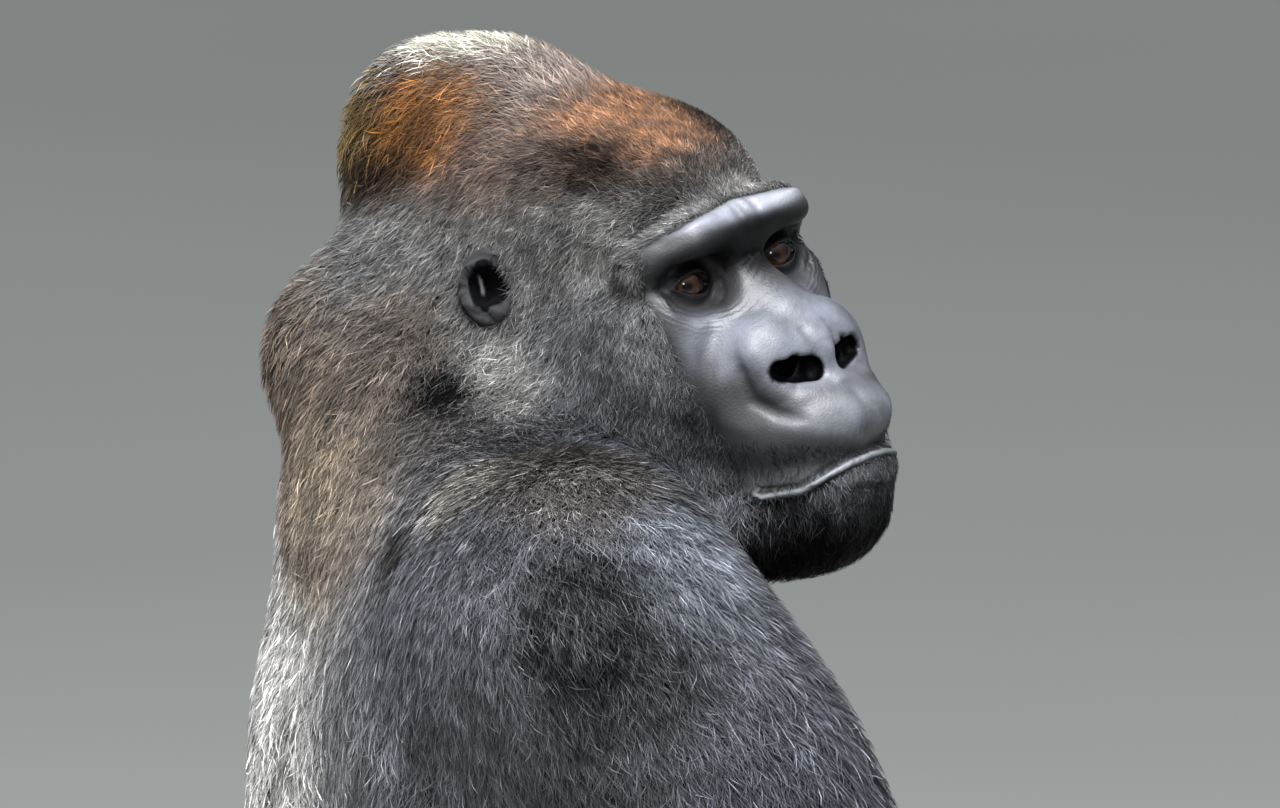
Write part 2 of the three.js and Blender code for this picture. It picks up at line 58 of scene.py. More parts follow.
# %% Sizes
EYES = np.array([-112.0, 169.0, 944.0])
HEAD_YAW, HEAD_PITCH, HEAD_ROLL = 60.0, 12.0, 6.0
EYE_SPACING, EYE_DEPTH, EYE_RADIUS = 36.5, 4.0, 14.0
SHOULDER, ELBOW, WRIST = (226, 52, 768), (294, 304, 402), (98, 405, 152)
KNUCKLES, CARRY = (100, 418, 66), (0, 52, 4)
HIP, KNEE, ANKLE = (100, 0, 130), (345, 205, 262), (258, 420, 80)
SEED = 7


def unit(v):
    """v / |v|, along the last axis."""
    v = np.asarray(v, float)
    return v / np.maximum(np.linalg.norm(v, axis=-1, keepdims=True), 1e-12)


def head_axes():
    """Rows left, front, up of the head, from its yaw, pitch and roll."""
    y, p, r = np.radians([HEAD_YAW, HEAD_PITCH, HEAD_ROLL])
    front = np.array([-np.sin(y) * np.cos(p), np.cos(y) * np.cos(p), np.sin(p)])
    left = np.array([np.cos(y), np.sin(y), 0.0])
    up = np.cross(left, front)
    return np.array([left * np.cos(r) + up * np.sin(r), front, up * np.cos(r) - left * np.sin(r)])


HEAD = head_axes()


def from_head(p):
    """Head coordinates to design coordinates."""
    return np.asarray(p, float) @ HEAD + EYES


def to_head(p):
    """Design coordinates to head coordinates."""
    return (np.asarray(p, float) - EYES) @ HEAD.T


def bare_row(p):
    """Design (left, front, up) in mm to metres with y pointing back."""
    return np.asarray(p, float) * (0.001, -0.001, 0.001)


eye_middle = sum((np.array(c) for node in ("eye_left", "eye_right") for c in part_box(node)), np.zeros(3)) / 4
SHIFT = eye_middle - bare_row(from_head((0, -EYE_DEPTH, 0)))


def row(p):
    """Design coordinates to the row frame."""
    return bare_row(p) + SHIFT


print("design origin in the row frame", SHIFT.round(4))

# %% [markdown]
# ## The masses
# A body could be sculpted by hand, but a sum of rounded masses can be measured at any point: balls
# (ellipsoids) and rods (tapered capsules) that melt into each other over a set width. They are the masses
# that the solids were cut from, apart from the two nostrils, which are narrower here, so the skin can be laid
# at a known depth below the solids' surface.

# %% Masses
def ball(at, size, melt=30, aim=(0, 0, 1), hollow=False):
    """An ellipsoid of half sizes (across, deep, long) whose long axis points along aim."""
    return {"at": np.array(at, float), "size": np.array(size, float), "aim": np.array(aim, float),
            "melt": melt, "hollow": hollow}


def rod(a, b, ra, rb, melt=30, hollow=False):
    """A tapered capsule from a to b."""
    return {"a": np.array(a, float), "b": np.array(b, float), "ra": ra, "rb": rb,
            "melt": melt, "hollow": hollow}


FLIP = np.array([-1.0, 1.0, 1.0])


def mirror(masses):
    """The same masses on the other side."""
    return [{k: v * FLIP if k in ("at", "aim", "a", "b") else v for k, v in m.items()} for m in masses]


def both(m):
    """A mass and its mirror image."""
    return [m] + mirror([m])


def between(a, b, t, off=(0, 0, 0)):
    """The point a share t of the way from a to b, moved by off."""
    a, b = np.array(a, float), np.array(b, float)
    return a + (b - a) * t + off


def lean(degrees):
    """An upward aim leaning to the left."""
    return (math.sin(math.radians(degrees)), 0, math.cos(math.radians(degrees)))


TRUNK = [
    ball((0, 88, 560), (196, 162, 180)),                                # ribs
    ball((0, 104, 350), (222, 190, 188), 90),                           # belly
    ball((0, 10, 165), (178, 135, 150), 70),                            # pelvis
    ball((0, 76, 690), (176, 142, 140), 60),                            # chest
    *both(ball((86, -22, 92), (98, 100, 106), 50)),                     # buttocks
    ball((-116, 6, 705), (92, 70, 125), 50, lean(-10)),                 # shoulder blades
    ball((104, 34, 700), (84, 64, 120), 50, lean(10)),
    ball((-152, 50, 600), (68, 100, 140), 50),                          # flanks under the arms
    ball((150, 72, 600), (66, 100, 140), 50),
    *both(ball((84, 160, 684), (86, 60, 75), 40)),                      # breasts
    rod((-30, 16, 826), (-168, 50, 784), 68, 60, 50),                   # neck to shoulders
    rod((20, 64, 868), (180, 100, 800), 84, 64, 50),
    rod((0, 40, 780), (12, 96, 880), 104, 78, 50),                      # neck
    rod((-16, 4, 846), (50, 0, 868), 58, 69, 24),                       # nape
    rod((0, -32, 300), (0, -8, 660), 60, 60, 60),                       # spine
]


def arm_masses(shoulder):
    """An arm from its shoulder joint to the palm."""
    down, fore = unit(np.subtract(ELBOW, shoulder)), unit(np.subtract(WRIST, ELBOW))
    return [
        ball(shoulder, (94, 90, 94), 45),
        rod(shoulder, ELBOW, 86, 70, 40),
        ball(between(shoulder, ELBOW, 0.22), (93, 95, 130), 40, down),
        ball(between(shoulder, ELBOW, 0.5, (6, -22, 0)), (72, 70, 150), 30, down),
        ball(between(shoulder, ELBOW, 0.52, (-10, 22, 0)), (58, 54, 120), 25, down),
        ball(ELBOW, (70, 68, 70), 25),
        rod(ELBOW, WRIST, 68, 46, 25),
        ball(between(ELBOW, WRIST, 0.32, (10, 0, 6)), (74, 68, 135), 25, fore),
        ball(WRIST, (48, 41, 44), 20),
        ball(np.add(WRIST, (2, 4, -46)), (56, 29, 60), 20),
    ]


FINGERS = []
for offset, reach in ((-40, 40), (-13.3, 46), (13.3, 46), (40, 38)):
    x, f = KNUCKLES[0] + offset, KNUCKLES[1]
    FINGERS += [rod((x, f, 66), (x, f + reach, 24), 17, 15, 3),
                rod((x, f + reach, 12), (x, f + 2, 11), 15, 14, 4),
                rod((x, f + 2, 12), (x, f - 12, 32), 14, 12, 4)]
FINGERS.append(rod(np.add(KNUCKLES, (-56, -4, 56)), np.add(KNUCKLES, (-66, 4, 8)), 15, 11, 10))

LEG = [
    rod(HIP, KNEE, 110, 82, 50),
    ball(between(HIP, KNEE, 0.45, (0, 0, -6)), (92, 84, 150), 40, unit(np.subtract(KNEE, HIP))),
    ball(KNEE, (78, 78, 78), 30),
    rod(KNEE, ANKLE, 68, 46, 20),
    ball(between(KNEE, ANKLE, 0.38, (4, -14, -8)), (60, 56, 115), 25, unit(np.subtract(ANKLE, KNEE))),
    ball(np.add(ANKLE, (-4, -30, -44)), (36, 44, 40), 25),
    rod(np.add(ANKLE, (0, -6, -22)), np.add(ANKLE, (22, 100, -44)), 40, 28, 25),
    ball(np.add(ANKLE, (28, 110, -58)), (26, 54, 56), 20, (0.24, 0.97, 0)),
]
TOES = [rod(np.add(ANKLE, (x, f, -66)), np.add(ANKLE, (x + n * 0.28, f + n, -69)), 16, 13, 7)
        for x, f, n in ((4, 146, 46), (28, 144, 48), (51, 134, 44), (72, 118, 36))]
TOES.append(rod(np.add(ANKLE, (-8, 56, -58)), np.add(ANKLE, (-46, 128, -67)), 24, 17, 14))

# %% [markdown]
# The head's masses stand in the head's own axes, from the braincase to the nostrils. Hollow ones are cut out
# of what stands before them in the list.

# %% Masses of the head
SKULL = [
    ball((0, -135, 32), (74, 108, 74), 0),                              # braincase
    rod((0, -44, 36), (0, -150, 90), 52, 50, 40),                       # forehead to crown
    ball((0, -188, 86), (48, 88, 66), 36),                              # crest
    ball((0, -214, 96), (42, 58, 54), 24),
    ball((0, -224, 66), (46, 60, 64), 24),
    *both(ball((50, -95, 36), (34, 74, 56), 30)),                       # temples
    ball((0, -200, 16), (70, 62, 66), 40),                              # back of the head
    ball((0, -28, -42), (58, 62, 72), 30),                              # middle of the face
    *both(ball((53, -24, -16), (24, 32, 22), 22)),                      # cheek bones
    *both(ball((54, -30, -50), (27, 38, 42), 30)),                      # cheeks
    *both(ball((56, -76, -48), (34, 52, 60), 30)),                      # corners of the jaw
    *both(rod((22, 12, -142), (60, -88, -92), 32, 40, 30)),             # jaw
    ball((0, 10, -66), (55, 50, 48), 24),                               # muzzle
    ball((0, 41, -92), (47, 44, 30), 16),                               # upper lip
    ball((0, 37, -123), (44, 47, 24), 10),                              # lower lip
    ball((0, 28, -148), (42, 42, 32), 22),                              # chin
    rod((-36, 12, 27), (36, 12, 27), 15, 15, 14),                       # brow
    *both(rod((36, 12, 27), (63, -12, 17), 15, 13, 8)),
    *both(ball((EYE_SPACING, 16, -1), (21, 17, 14.5), 9, hollow=True)),  # eye pits
    *both(ball((EYE_SPACING, -11, 0), (17, 15, 14), 6)),                # round the eyeballs
    rod((0, -8, 4), (0, 34, -34), 11, 19, 12),                          # bridge of the nose
    *both(ball((22, 37, -53), (23, 23, 29), 7)),                        # wings of the nose
    ball((0, 51, -49), (17, 14, 16), 10),                               # tip of the nose
    rod((10.5, 60.5, -58.5), (26, 56, -55.5), 6.2, 5.6, 4, hollow=True),  # left nostril
    rod((-12, 59.5, -59.5), (-32, 53, -56), 6.8, 6.2, 4, hollow=True),  # right nostril
]

# %% [markdown]
# An ear is a shallow plate with a rolled rim round a bowl, a small flap in front of it and a lobe below. Both
# ears are alike, but the neck and the side of the head swell round them, so that little more than the rim and
# the bowl stands out. The skin deepens the bowl and adds the lump at its foot.

# %% Ears
EAR, EAR_ACROSS, EAR_HEIGHT, RIM = np.array([92.0, -104.0, 20.0]), 14.5, 18.5, 3.4
EAR_OUT, EAR_BACK = unit((0.86, 0.5, 0.1)), unit((0.5, -0.86, 0))
EAR_UP = np.cross(EAR_BACK, EAR_OUT)


def ear_point(out, back, up):
    """A point in the ear's own axes."""
    return EAR + EAR_OUT * out + EAR_BACK * back + EAR_UP * up


def ear_masses():
    """The plate, the rolled rim, the lobe, the hollow and the flap of a left ear."""
    turns = np.radians(np.arange(-100, 171, 30))
    rim = [ear_point(5.5 + 2 * math.cos(t), EAR_ACROSS * math.cos(t), EAR_HEIGHT * math.sin(t))
           for t in turns]
    return [ball(ear_point(-3, 0, 0), (EAR_ACROSS + 1, EAR_HEIGHT + 1, 8), 4, EAR_OUT),
            *[rod(a, b, RIM, RIM, 3) for a, b in zip(rim, rim[1:])],
            rod(ear_point(1, -8, -16), ear_point(1, -4, -8), 5, 4, 4),
            ball(ear_point(5, -3, -1), (9.5, 14, 7.5), 2.5, EAR_OUT, hollow=True),
            rod(ear_point(3, -12.5, -5), ear_point(3, -12.5, 3), 3.2, 3, 3)]


def ear_folds():
    """What the skin adds: the deep bowl, then the lump at its foot."""
    return [[ball(ear_point(2, -1.5, 0), (11.0, 15.6, 9), 2, EAR_OUT, hollow=True)],
            [ball(ear_point(-2, -3, -11), (4.0, 4.0, 4.0), 2, EAR_OUT)]]


limb_masses = len(LEG) + len(TOES) + len(FINGERS) + len(arm_masses(SHOULDER))
print("masses", len(TRUNK) + len(SKULL) + 2 * limb_masses, "and", 2 * len(ear_masses()), "in the ears")

# %% [markdown]
# ## The field
# Each mass gives a rough distance, negative inside. Two distances a and b melt with
# min(a, b) - max(k - |a - b|, 0)^2 / 4k. Limbs melt into the trunk near their joint only. Masses too far
# away to change a point are skipped, which keeps millions of samples quick.

# %% Field
def settle(masses, in_head=False):
    """Masses in design coordinates, each with a sphere that holds it and, for a ball, its three axes."""
    out = []
    turn = HEAD if in_head else np.eye(3)
    origin = EYES if in_head else np.zeros(3)
    for m in masses:
        m = dict(m)
        if "at" in m:
            long = unit(m["aim"])
            across = unit(np.cross((0, 1, 0) if abs(long[1]) < 0.95 else (0, 0, 1), long))
            m["axes"] = np.array([across, np.cross(long, across), long]) @ turn
            m["at"] = m["at"] @ turn + origin
            m["middle"], m["bound"] = m["at"], m["size"].max()
        else:
            m["a"], m["b"] = m["a"] @ turn + origin, m["b"] @ turn + origin
            m["middle"] = (m["a"] + m["b"]) / 2
            m["bound"] = np.linalg.norm(m["b"] - m["a"]) / 2 + max(m["ra"], m["rb"])
        out.append(m)
    return out


def distance(m, p):
    """Rough distance from points p to one mass."""
    if "at" in m:
        q = ((p - m["at"]) @ m["axes"].T) / m["size"]
        near, steep = np.sqrt((q * q).sum(1)), np.sqrt(((q / m["size"]) ** 2).sum(1))
        return np.where(steep > 1e-9, near * (near - 1) / np.maximum(steep, 1e-9), -m["size"].min())
    ab, q = m["b"] - m["a"], p - m["a"]
    t = np.clip(q @ ab / (ab @ ab), 0, 1)
    return np.linalg.norm(q - t[:, None] * ab, axis=1) - (m["ra"] + (m["rb"] - m["ra"]) * t)


def melt(a, b, k):
    """Smooth minimum: min(a, b) - max(k - |a - b|, 0)^2 / 4k."""
    return np.minimum(a, b) - np.maximum(k - np.abs(a - b), 0) ** 2 / (4 * np.maximum(k, 1e-6))


def total(masses, p, start=None):
    """The masses melted together in order, at points p."""
    d = np.full(len(p), 1e3) if start is None else start.copy()
    for m in masses:
        clear = np.linalg.norm(p - m["middle"], axis=1) - m["bound"]
        near = clear <= (0 if m["hollow"] else np.maximum(d, 0)) + m["melt"] + 20
        if near.any():
            v, o = distance(m, p[near]), d[near]
            d[near] = -melt(-o, v, m["melt"]) if m["hollow"] else melt(o, v, m["melt"])
    return d


LEFT_SHOULDER = np.add(SHOULDER, CARRY)
LIMBS = []
for masses, joint, reach in ((arm_masses(LEFT_SHOULDER) + FINGERS, LEFT_SHOULDER, 300),
                             (mirror(arm_masses(SHOULDER) + FINGERS), SHOULDER * FLIP, 300),
                             (LEG + TOES, np.array(HIP), 330), (mirror(LEG + TOES), HIP * FLIP, 330)):
    masses = settle(masses)
    middle = np.mean([m["middle"] for m in masses], axis=0)
    bound = max(np.linalg.norm(m["middle"] - middle) + m["bound"] for m in masses)
    LIMBS.append((masses, joint, reach, middle, bound))
BODY, CRANIUM = settle(TRUNK), settle(SKULL, True)
NOSTRILS = settle(SKULL[-2:], True)
BORES = settle([rod((19, 57, -56), (13, 30, -46), 5.8, 5.0, 3, hollow=True),
                rod((-22, 57, -57), (-15, 30, -46), 6.6, 5.5, 3, hollow=True)], True)
BOWL, LUMP = ear_folds()
EARS = [[settle(f(masses), True) for f in (list, mirror)]      # plate and bowl, then the rim, then the lump
        for masses in (ear_masses()[:1] + BOWL, ear_masses() + BOWL, ear_masses() + BOWL + LUMP)]


NECK_MELT, JOINT_MELT = 40, 50          # how widely the head and a limb's root melt into the trunk
HEAD_REACH, LIMB_MARGIN = 330, 110      # farther off than this, the head or a limb changes nothing


def outline(p):
    """The surface that the coat's tips reach, cut off by the floor: negative inside."""
    d = total(BODY, p)
    near = np.linalg.norm(p - CRANIUM[0]["middle"], axis=1) < HEAD_REACH
    if near.any():
        d[near] = melt(d[near], total(CRANIUM, p[near]), NECK_MELT)
    for masses, joint, reach, middle, bound in LIMBS:
        near = np.linalg.norm(p - middle, axis=1) < bound + LIMB_MARGIN
        if near.any():
            q = p[near]
            fade = np.clip((reach - np.linalg.norm(q - joint, axis=1)) / (0.5 * reach), 0.06, 1)
            d[near] = melt(d[near], total(masses, q), JOINT_MELT * fade)
    return np.maximum(d, -p[:, 2])


# %% [markdown]
# ## What grows where
# A short list of places on the body sets the coat: how deep it stands over the skin, how long its hair is and
# which way it lies. Between the places the values run smoothly, weighted by exp(-d^2 / 2r^2). Head places are
# in the head's axes. Side places are mirrored.

# %% Coat places
def place(at, reach, depth, length, lie, side=True, head=False):
    """A named spot: position, reach, coat depth, hair length and lie, all in mm or unit direction."""
    return (at, reach, depth, length, lie, side, head)


UPPER_LIE, FORE_LIE = unit(np.subtract(ELBOW, SHOULDER)), -unit(np.subtract(WRIST, ELBOW))
THIGH_LIE, SHIN_LIE = unit(np.subtract(KNEE, HIP)), unit(np.subtract(ANKLE, KNEE))
PLACES = [
    place((0, -5, 70), 26, 2.5, 7, (0, -0.8, 0.6), False, True),          # forehead
    place((45, -30, 62), 28, 3, 8, (0.25, -0.9, 0.1), True, True),
    place((0, -80, 112), 45, 5, 12, (0, -1, 0.35), False, True),          # crown
    place((0, -165, 150), 45, 9, 19, (0, -1, -0.05), False, True),        # crest
    place((0, -255, 120), 40, 12, 26, (0, -0.6, -0.9), False, True),
    place((0, -285, 60), 45, 11, 26, (0, 0.1, -1), False, True),
    place((48, -170, 110), 40, 7, 16, (0.1, -0.7, -0.7), True, True),
    place((70, -60, 40), 30, 3, 8, (0, -0.55, -0.75), True, True),        # temple
    place((80, -110, 62), 35, 4.5, 9, (0, -0.45, -0.9), True, True),
    place((75, -190, 20), 40, 6, 11, (0, -0.2, -1), True, True),
    place((80, -35, -18), 26, 2.5, 7, (0, -0.25, -1), True, True),        # cheek
    place((72, -35, -80), 30, 4, 9, (0, -0.12, -1), True, True),
    place((84, -90, -40), 30, 5, 10, (0, -0.9, -0.45), True, True),       # under the ear
    place((56, 12, -70), 18, 1.2, 6, (0, -0.5, -0.8), True, True),        # muzzle's stubble
    place((0, 80, -100), 26, 0.8, 4, (0, 0.2, -1), False, True),
    place((46, 20, -155), 30, 5, 14, (0, 0.05, -1), True, True),          # jaw and chin
    place((0, 70, -138), 22, 2.0, 6, (0, 0.2, -1), False, True),
    place((0, 52, -170), 24, 6, 17, (0, 0.3, -1), False, True),
    place((0, -10, -190), 40, 7, 24, (0, -0.5, -0.6), False, True),       # throat
    place((0, -60, 870), 60, 10, 17, (0, -0.2, -1), False),               # nape
    place((-110, 10, 850), 50, 6, 12, (-0.35, -0.1, -0.9), False),
    place((110, 80, 870), 60, 8, 15, (0.4, 0, -0.8), False),
    place((0, -65, 770), 70, 6, 14, (0, -0.1, -1), False),                # back
    place((0, -90, 620), 80, 6, 24, (0, 0, -1), False),
    place((0, -120, 420), 90, 6, 22, (0, 0, -1), False),
    place((95, -120, 150), 80, 7, 24, (0.2, 0, -1)),
    place((220, 20, 855), 60, 8, 12, (1, -0.15, -0.5)),                   # shoulder
    place((320, 60, 740), 80, 10, 15, tuple(UPPER_LIE + (0.05, -0.2, -0.2))),
    place((250, -50, 720), 70, 9, 15, (0.2, 0.1, -1)),
    place((340, 190, 560), 80, 14, 42, tuple(UPPER_LIE)),
    place((355, 320, 400), 70, 16, 54, (0.2, 0, -1)),                     # elbow
    place((230, 380, 300), 80, 14, 42, tuple(FORE_LIE + (0.3, 0, -0.4))),
    place((110, 430, 165), 40, 6, 20, (0.5, -0.1, 0.6)),                  # wrist
    place((100, 450, 105), 30, 3, 11, (0.5, 0, 0.7)),
    place((215, 60, 500), 90, 8, 32, (0, -0.15, -1)),                     # flank
    place((0, 290, 380), 110, 5, 20, (0, 0, -1), False),                  # belly
    place((0, 215, 680), 80, 2.5, 9, (0, 0.2, -1), False),                # chest
    place((235, 110, 270), 90, 11, 36, tuple(THIGH_LIE + (0, 0, -0.5))),  # thigh
    place((400, 200, 280), 70, 10, 34, (0.3, 0.1, -1)),                   # knee
    place((320, 330, 190), 70, 10, 34, tuple(SHIN_LIE)),                  # shin
    place((258, 440, 90), 40, 4, 15, tuple(SHIN_LIE)),
    place((280, 500, 60), 50, 2.5, 9, (0.25, 0.95, 0)),                   # foot
]


def lay_places():
    """Positions, reaches, depths, lengths and lies of all places and their mirror images, in design axes."""
    rows = []
    for at, reach, depth, length, lie, side, head in PLACES:
        for sign in ((1, -1) if side else (1,)):
            f = np.array([sign, 1, 1])
            p, v = np.array(at, float) * f, np.array(lie, float) * f
            rows.append((from_head(p) if head else p, reach, depth, length, unit(v @ HEAD if head else v)))
    return [np.array(c) for c in zip(*rows)]


SPOTS, REACHES, DEPTHS, LENGTHS, LIES = lay_places()


def coat_at(p):
    """Coat depth, hair length and lie at points p."""
    apart = (p * p).sum(1)[:, None] + (SPOTS * SPOTS).sum(1) - 2 * p @ SPOTS.T
    w = np.exp(-apart / (2 * REACHES ** 2)) + 1e-9
    w /= w.sum(1, keepdims=True)
    return w @ DEPTHS, w @ LENGTHS, unit(w @ LIES)


# %% [markdown]
# The face, ears, fingers, soles and toes are bare, and the hair thins to stubble round the mouth and in front
# of the cheeks. One function gives the share of bare skin anywhere, from the hair's edge and the mouth's
# line; the skin's depth, its colour and the tufts all follow it.

# %% Bare skin
def step(x, low, high):
    """0 below low, 1 above high, smooth between."""
    t = np.clip((x - low) / (high - low), 0, 1)
    return t * t * (3 - 2 * t)


HAIR_HEIGHTS = (-125, -110, -96, -82, -60, -39, -22, 0, 20, 45)
HAIR_FRONTS = (12, 12, 14, 15, 14, 10, 1, -7, -14, 4)
MOUTH_TURNS, MOUTH_HEIGHTS = (0, 12, 24, 39, 64, 84), (-110.5, -111.5, -115, -121.5, -121.5, -116)


def hair_edge(up):
    """How far forward the hair of the cheek reaches at height up of the head."""
    return np.interp(up, HAIR_HEIGHTS, HAIR_FRONTS)


def lip_shade(side, up):
    """1 on the dark, bristly skin above the mouth, which widens towards its corners."""
    return step(0.47 * side - 109.0 - up, -5, 6)


def above_mouth(side, front, up):
    """Height above the line of the mouth, and the turn round the muzzle in degrees: the corners are at 84."""
    turn = np.degrees(np.arctan2(side, front - 10))
    return up - np.interp(turn, MOUTH_TURNS, MOUTH_HEIGHTS), turn


def bareness(p):
    """1 on bare skin, about a half on stubble: the face, ears, palms, fingers, soles and toes."""
    h = to_head(p)
    side, front, up = np.abs(h[:, 0]), h[:, 1], h[:, 2]
    edge = hair_edge(up)
    above, turn = above_mouth(side, front, up)
    face = step(front, edge - 8, edge + 6) * (1 - step(up - 0.25 * front + 0.12 * side, 33, 39))
    face *= step(above, -2, 3) * (1 - step(side, 60, 70)) * (1 - 0.37 * lip_shade(side, up))
    lip = np.exp(-((above + 3.0) / 2.9) ** 4) * (1 - step(turn, 76, 86))
    lip *= (1 - step(side, 54, 60)) * (1 - step(front, 95, 105))
    stubble = 0.5 * step(front, edge - 22, edge - 6) * step(above, -2, 2)
    stubble *= (1 - step(side, 62, 72)) * (1 - step(up, 6, 18))
    q = np.stack([side, front, up], 1) - EAR
    ear = (1 - step(np.hypot(q @ EAR_BACK, q @ EAR_UP / 1.25), 16, 20)) * step(q @ EAR_OUT, -22, -16)
    hand = (1 - step(p[:, 2], 66, 84)) * step(p[:, 1], 340, 372) * (1 - step(np.abs(p[:, 0]), 165, 178))
    foot = (1 - step(p[:, 2], 14, 24)) * step(p[:, 1], 330, 360)
    toes = step(p[:, 1] + 0.4 * np.abs(p[:, 0]), 640, 662) * (1 - step(p[:, 2], 70, 80))
    return np.clip(np.maximum.reduce([face, lip, stubble, ear, hand, foot, toes]), 0, 1)


def skin_depth(p):
    """How far the skin lies under the outline: most of the coat's depth, and a little where it is bare."""
    depth, _, _ = coat_at(p)
    return depth * (1 - bareness(p)) * 0.92 + 0.4


# %% [markdown]
# ## The face
# The finer forms of the face are carved into the field: lids that wrap the eyeballs with an almond opening,
# and grooves and ridges along named creases, each a few points settled onto the surface. Wrinkles too fine
# for the mesh are left to the skin's material, which draws them from phases worked out here. The clefts
# between the folded fingers are carved in the same way.

# %% Face carving
LID, LID_SLANT = 1.5, 0.06              # thickness of the lids, and how far the outer corner stands higher
INNER, OUTER = -14.5, 13.0              # the corners of the opening, from the eyeball's centre outwards
OPEN_UP, OPEN_DOWN = 6.6, 5.8           # how far it opens above and below the corners


def almond(h):
    """How far h lies from the edge of the lids' opening, from the eyeball's centre, and ahead of it."""
    side = np.where(h[:, 0] < 0, -1.0, 1.0)
    q = h - np.stack([side * EYE_SPACING, np.full(len(h), -EYE_DEPTH), np.zeros(len(h))], 1)
    x = side * q[:, 0]
    z = q[:, 2] - LID_SLANT * x
    u = (x - INNER) / (OUTER - INNER)
    arch = 1 - np.abs(2 * u - 1) ** 2.2
    beyond = np.abs(x - (INNER + OUTER) / 2) - (OUTER - INNER) / 2
    gap = np.maximum(np.maximum(z - OPEN_UP * arch, -z - OPEN_DOWN * arch) * 0.75, beyond)
    return np.clip(gap, -9, 30), np.linalg.norm(q, axis=1), q[:, 1]


def with_lids(d, h):
    """The lids swell the face over each eyeball, and the almond opening is cut through them."""
    gap, r, ahead = almond(h)
    rim = 0.9 * np.exp(-((gap - 1.2) / 1.3) ** 2)
    covered = melt(d, r - (EYE_RADIUS + LID + rim), 6.0)
    opening = np.maximum(np.maximum(gap, EYE_RADIUS - 1.6 - r), np.maximum(r - EYE_RADIUS - 6, 1.5 - ahead))
    return -melt(-covered, opening, 1.0)


def segment_distance(h, points):
    """Shortest distance from h to a chain of points, and how far along the chain (0 to 1) that is."""
    best, along = np.full(len(h), 1e3), np.zeros(len(h))
    for i, (a, b) in enumerate(zip(points, points[1:])):
        ab = b - a
        t = np.clip((h - a) @ ab / (ab @ ab), 0, 1)
        d = np.linalg.norm(h - a - t[:, None] * ab, axis=1)
        along = np.where(d < best, (i + t) / (len(points) - 1), along)
        best = np.minimum(best, d)
    return best, along


CREASES = [  # name, points in head coordinates, width, depth (negative stands proud), alone, both or across
    ("mouth", [(-51, 15, -116), (-47, 33, -121.5), (-39, 59, -121.5), (-27, 72, -115.0), (-14, 78, -111.5),
               (0, 80, -110.5)], 1.4, 3.4, "across"),
    ("mouth hollow", [(-47, 33, -120), (-39, 59, -120), (-27, 72, -114), (0, 80, -109)], 6.0, 1.8, "across"),
    ("lower lip", [(-50, 20, -120), (-46, 33, -124.4), (-39, 58, -124.2), (-27, 71, -118),
                   (0, 79, -113.5)], 2.0, -1.5, "across"),
    ("under the lip", [(-44, 40, -133), (-34, 60, -132), (-20, 72, -128), (0, 76, -125)], 5.0, 1.5, "across"),
    ("chin", [(-24, 62, -150), (0, 66, -148)], 12.0, -2.2, "across"),
    ("wing fold", [(44, 38, -47), (46, 39, -55), (45, 42, -69), (40, 54, -79),
                   (31, 65, -86)], 3.4, 2.8, "both"),
    ("wing", [(30, 36, -34), (36, 42, -45), (38, 46, -56), (36, 52, -66), (28, 60, -74),
              (14, 66, -76)], 6.5, -2.8, "both"),
    ("septum", [(0, 64, -46), (0, 68, -62), (0, 70, -76)], 5.5, -1.6, "alone"),
    ("tip groove", [(9, 56, -34), (9, 59, -40), (9, 61, -46), (6, 62, -53)], 3.0, 1.1, "both"),
    ("lip groove", [(0, 70, -78), (0, 76, -92), (0, 79, -104)], 4.0, 1.0, "alone"),
    ("inner eye fold", [(20, 10, -2), (25, 16, -16), (30, 24, -30)], 2.4, 2.2, "both"),
    ("orbit", [(18, 10, 8), (26, 8, 15), (38, 9, 17.5), (52, 2, 15), (62, -8, 6)], 5.0, 5.0, "both"),
    ("brow edge", [(6, 27, 27), (24, 27, 26), (42, 22, 25), (60, 6, 20)], 6.0, -2.2, "both"),
    ("glabella furrow", [(7, 20, 47), (7, 25, 40), (8, 27, 31)], 2.8, 2.0, "both"),
    ("glabella middle", [(-2, 24, 45), (-1, 27, 33)], 2.6, 1.2, "alone"),
    ("brow wrinkle", [(16, 24, 38), (34, 22, 36), (50, 10, 32)], 2.3, 1.0, "both"),
    ("under eye fold", [(20, 12, -12), (30, 15, -19), (42, 13, -21), (54, 4, -17),
                        (63, -8, -8)], 2.2, 1.7, "both"),
    ("second eye fold", [(22, 18, -20), (32, 19, -26), (46, 14, -28), (60, 2, -22)], 2.3, 1.2, "both"),
    ("cheek fold", [(38, 24, -18), (49, 18, -42), (53, 14, -66), (53, 12, -92)], 6.0, 2.0, "both"),
    ("bridge fold", [(-14, 8, 4), (0, 14, 5)], 2.2, 1.4, "across"),
]


def settle_crease(points):
    """The chain's points moved onto the outline, in head coordinates."""
    h = np.array(points, float)
    for _ in range(4):
        p = from_head(h)
        d = outline(p)
        g = np.stack([outline(p + HEAD[i]) - d for i in range(3)], 1)
        h = h - np.clip(d, -6, 6)[:, None] * g / np.maximum((g * g).sum(1, keepdims=True), 0.2)
    return h


def settled_creases():
    """Each chain with its width, depth, middle and reach: on both sides, carried across, or alone."""
    out = []
    for _, points, width, depth, kind in CREASES:
        chain = np.array(points, float)
        if kind == "across":
            chain = np.concatenate([chain, chain[-2::-1] * FLIP])
        for f in ((np.ones(3), FLIP) if kind == "both" else (np.ones(3),)):
            settled = settle_crease(chain * f)
            middle = settled.mean(0)
            out.append((settled, width, depth, middle, np.linalg.norm(settled - middle, axis=1).max()))
    return out


CARVED = settled_creases()


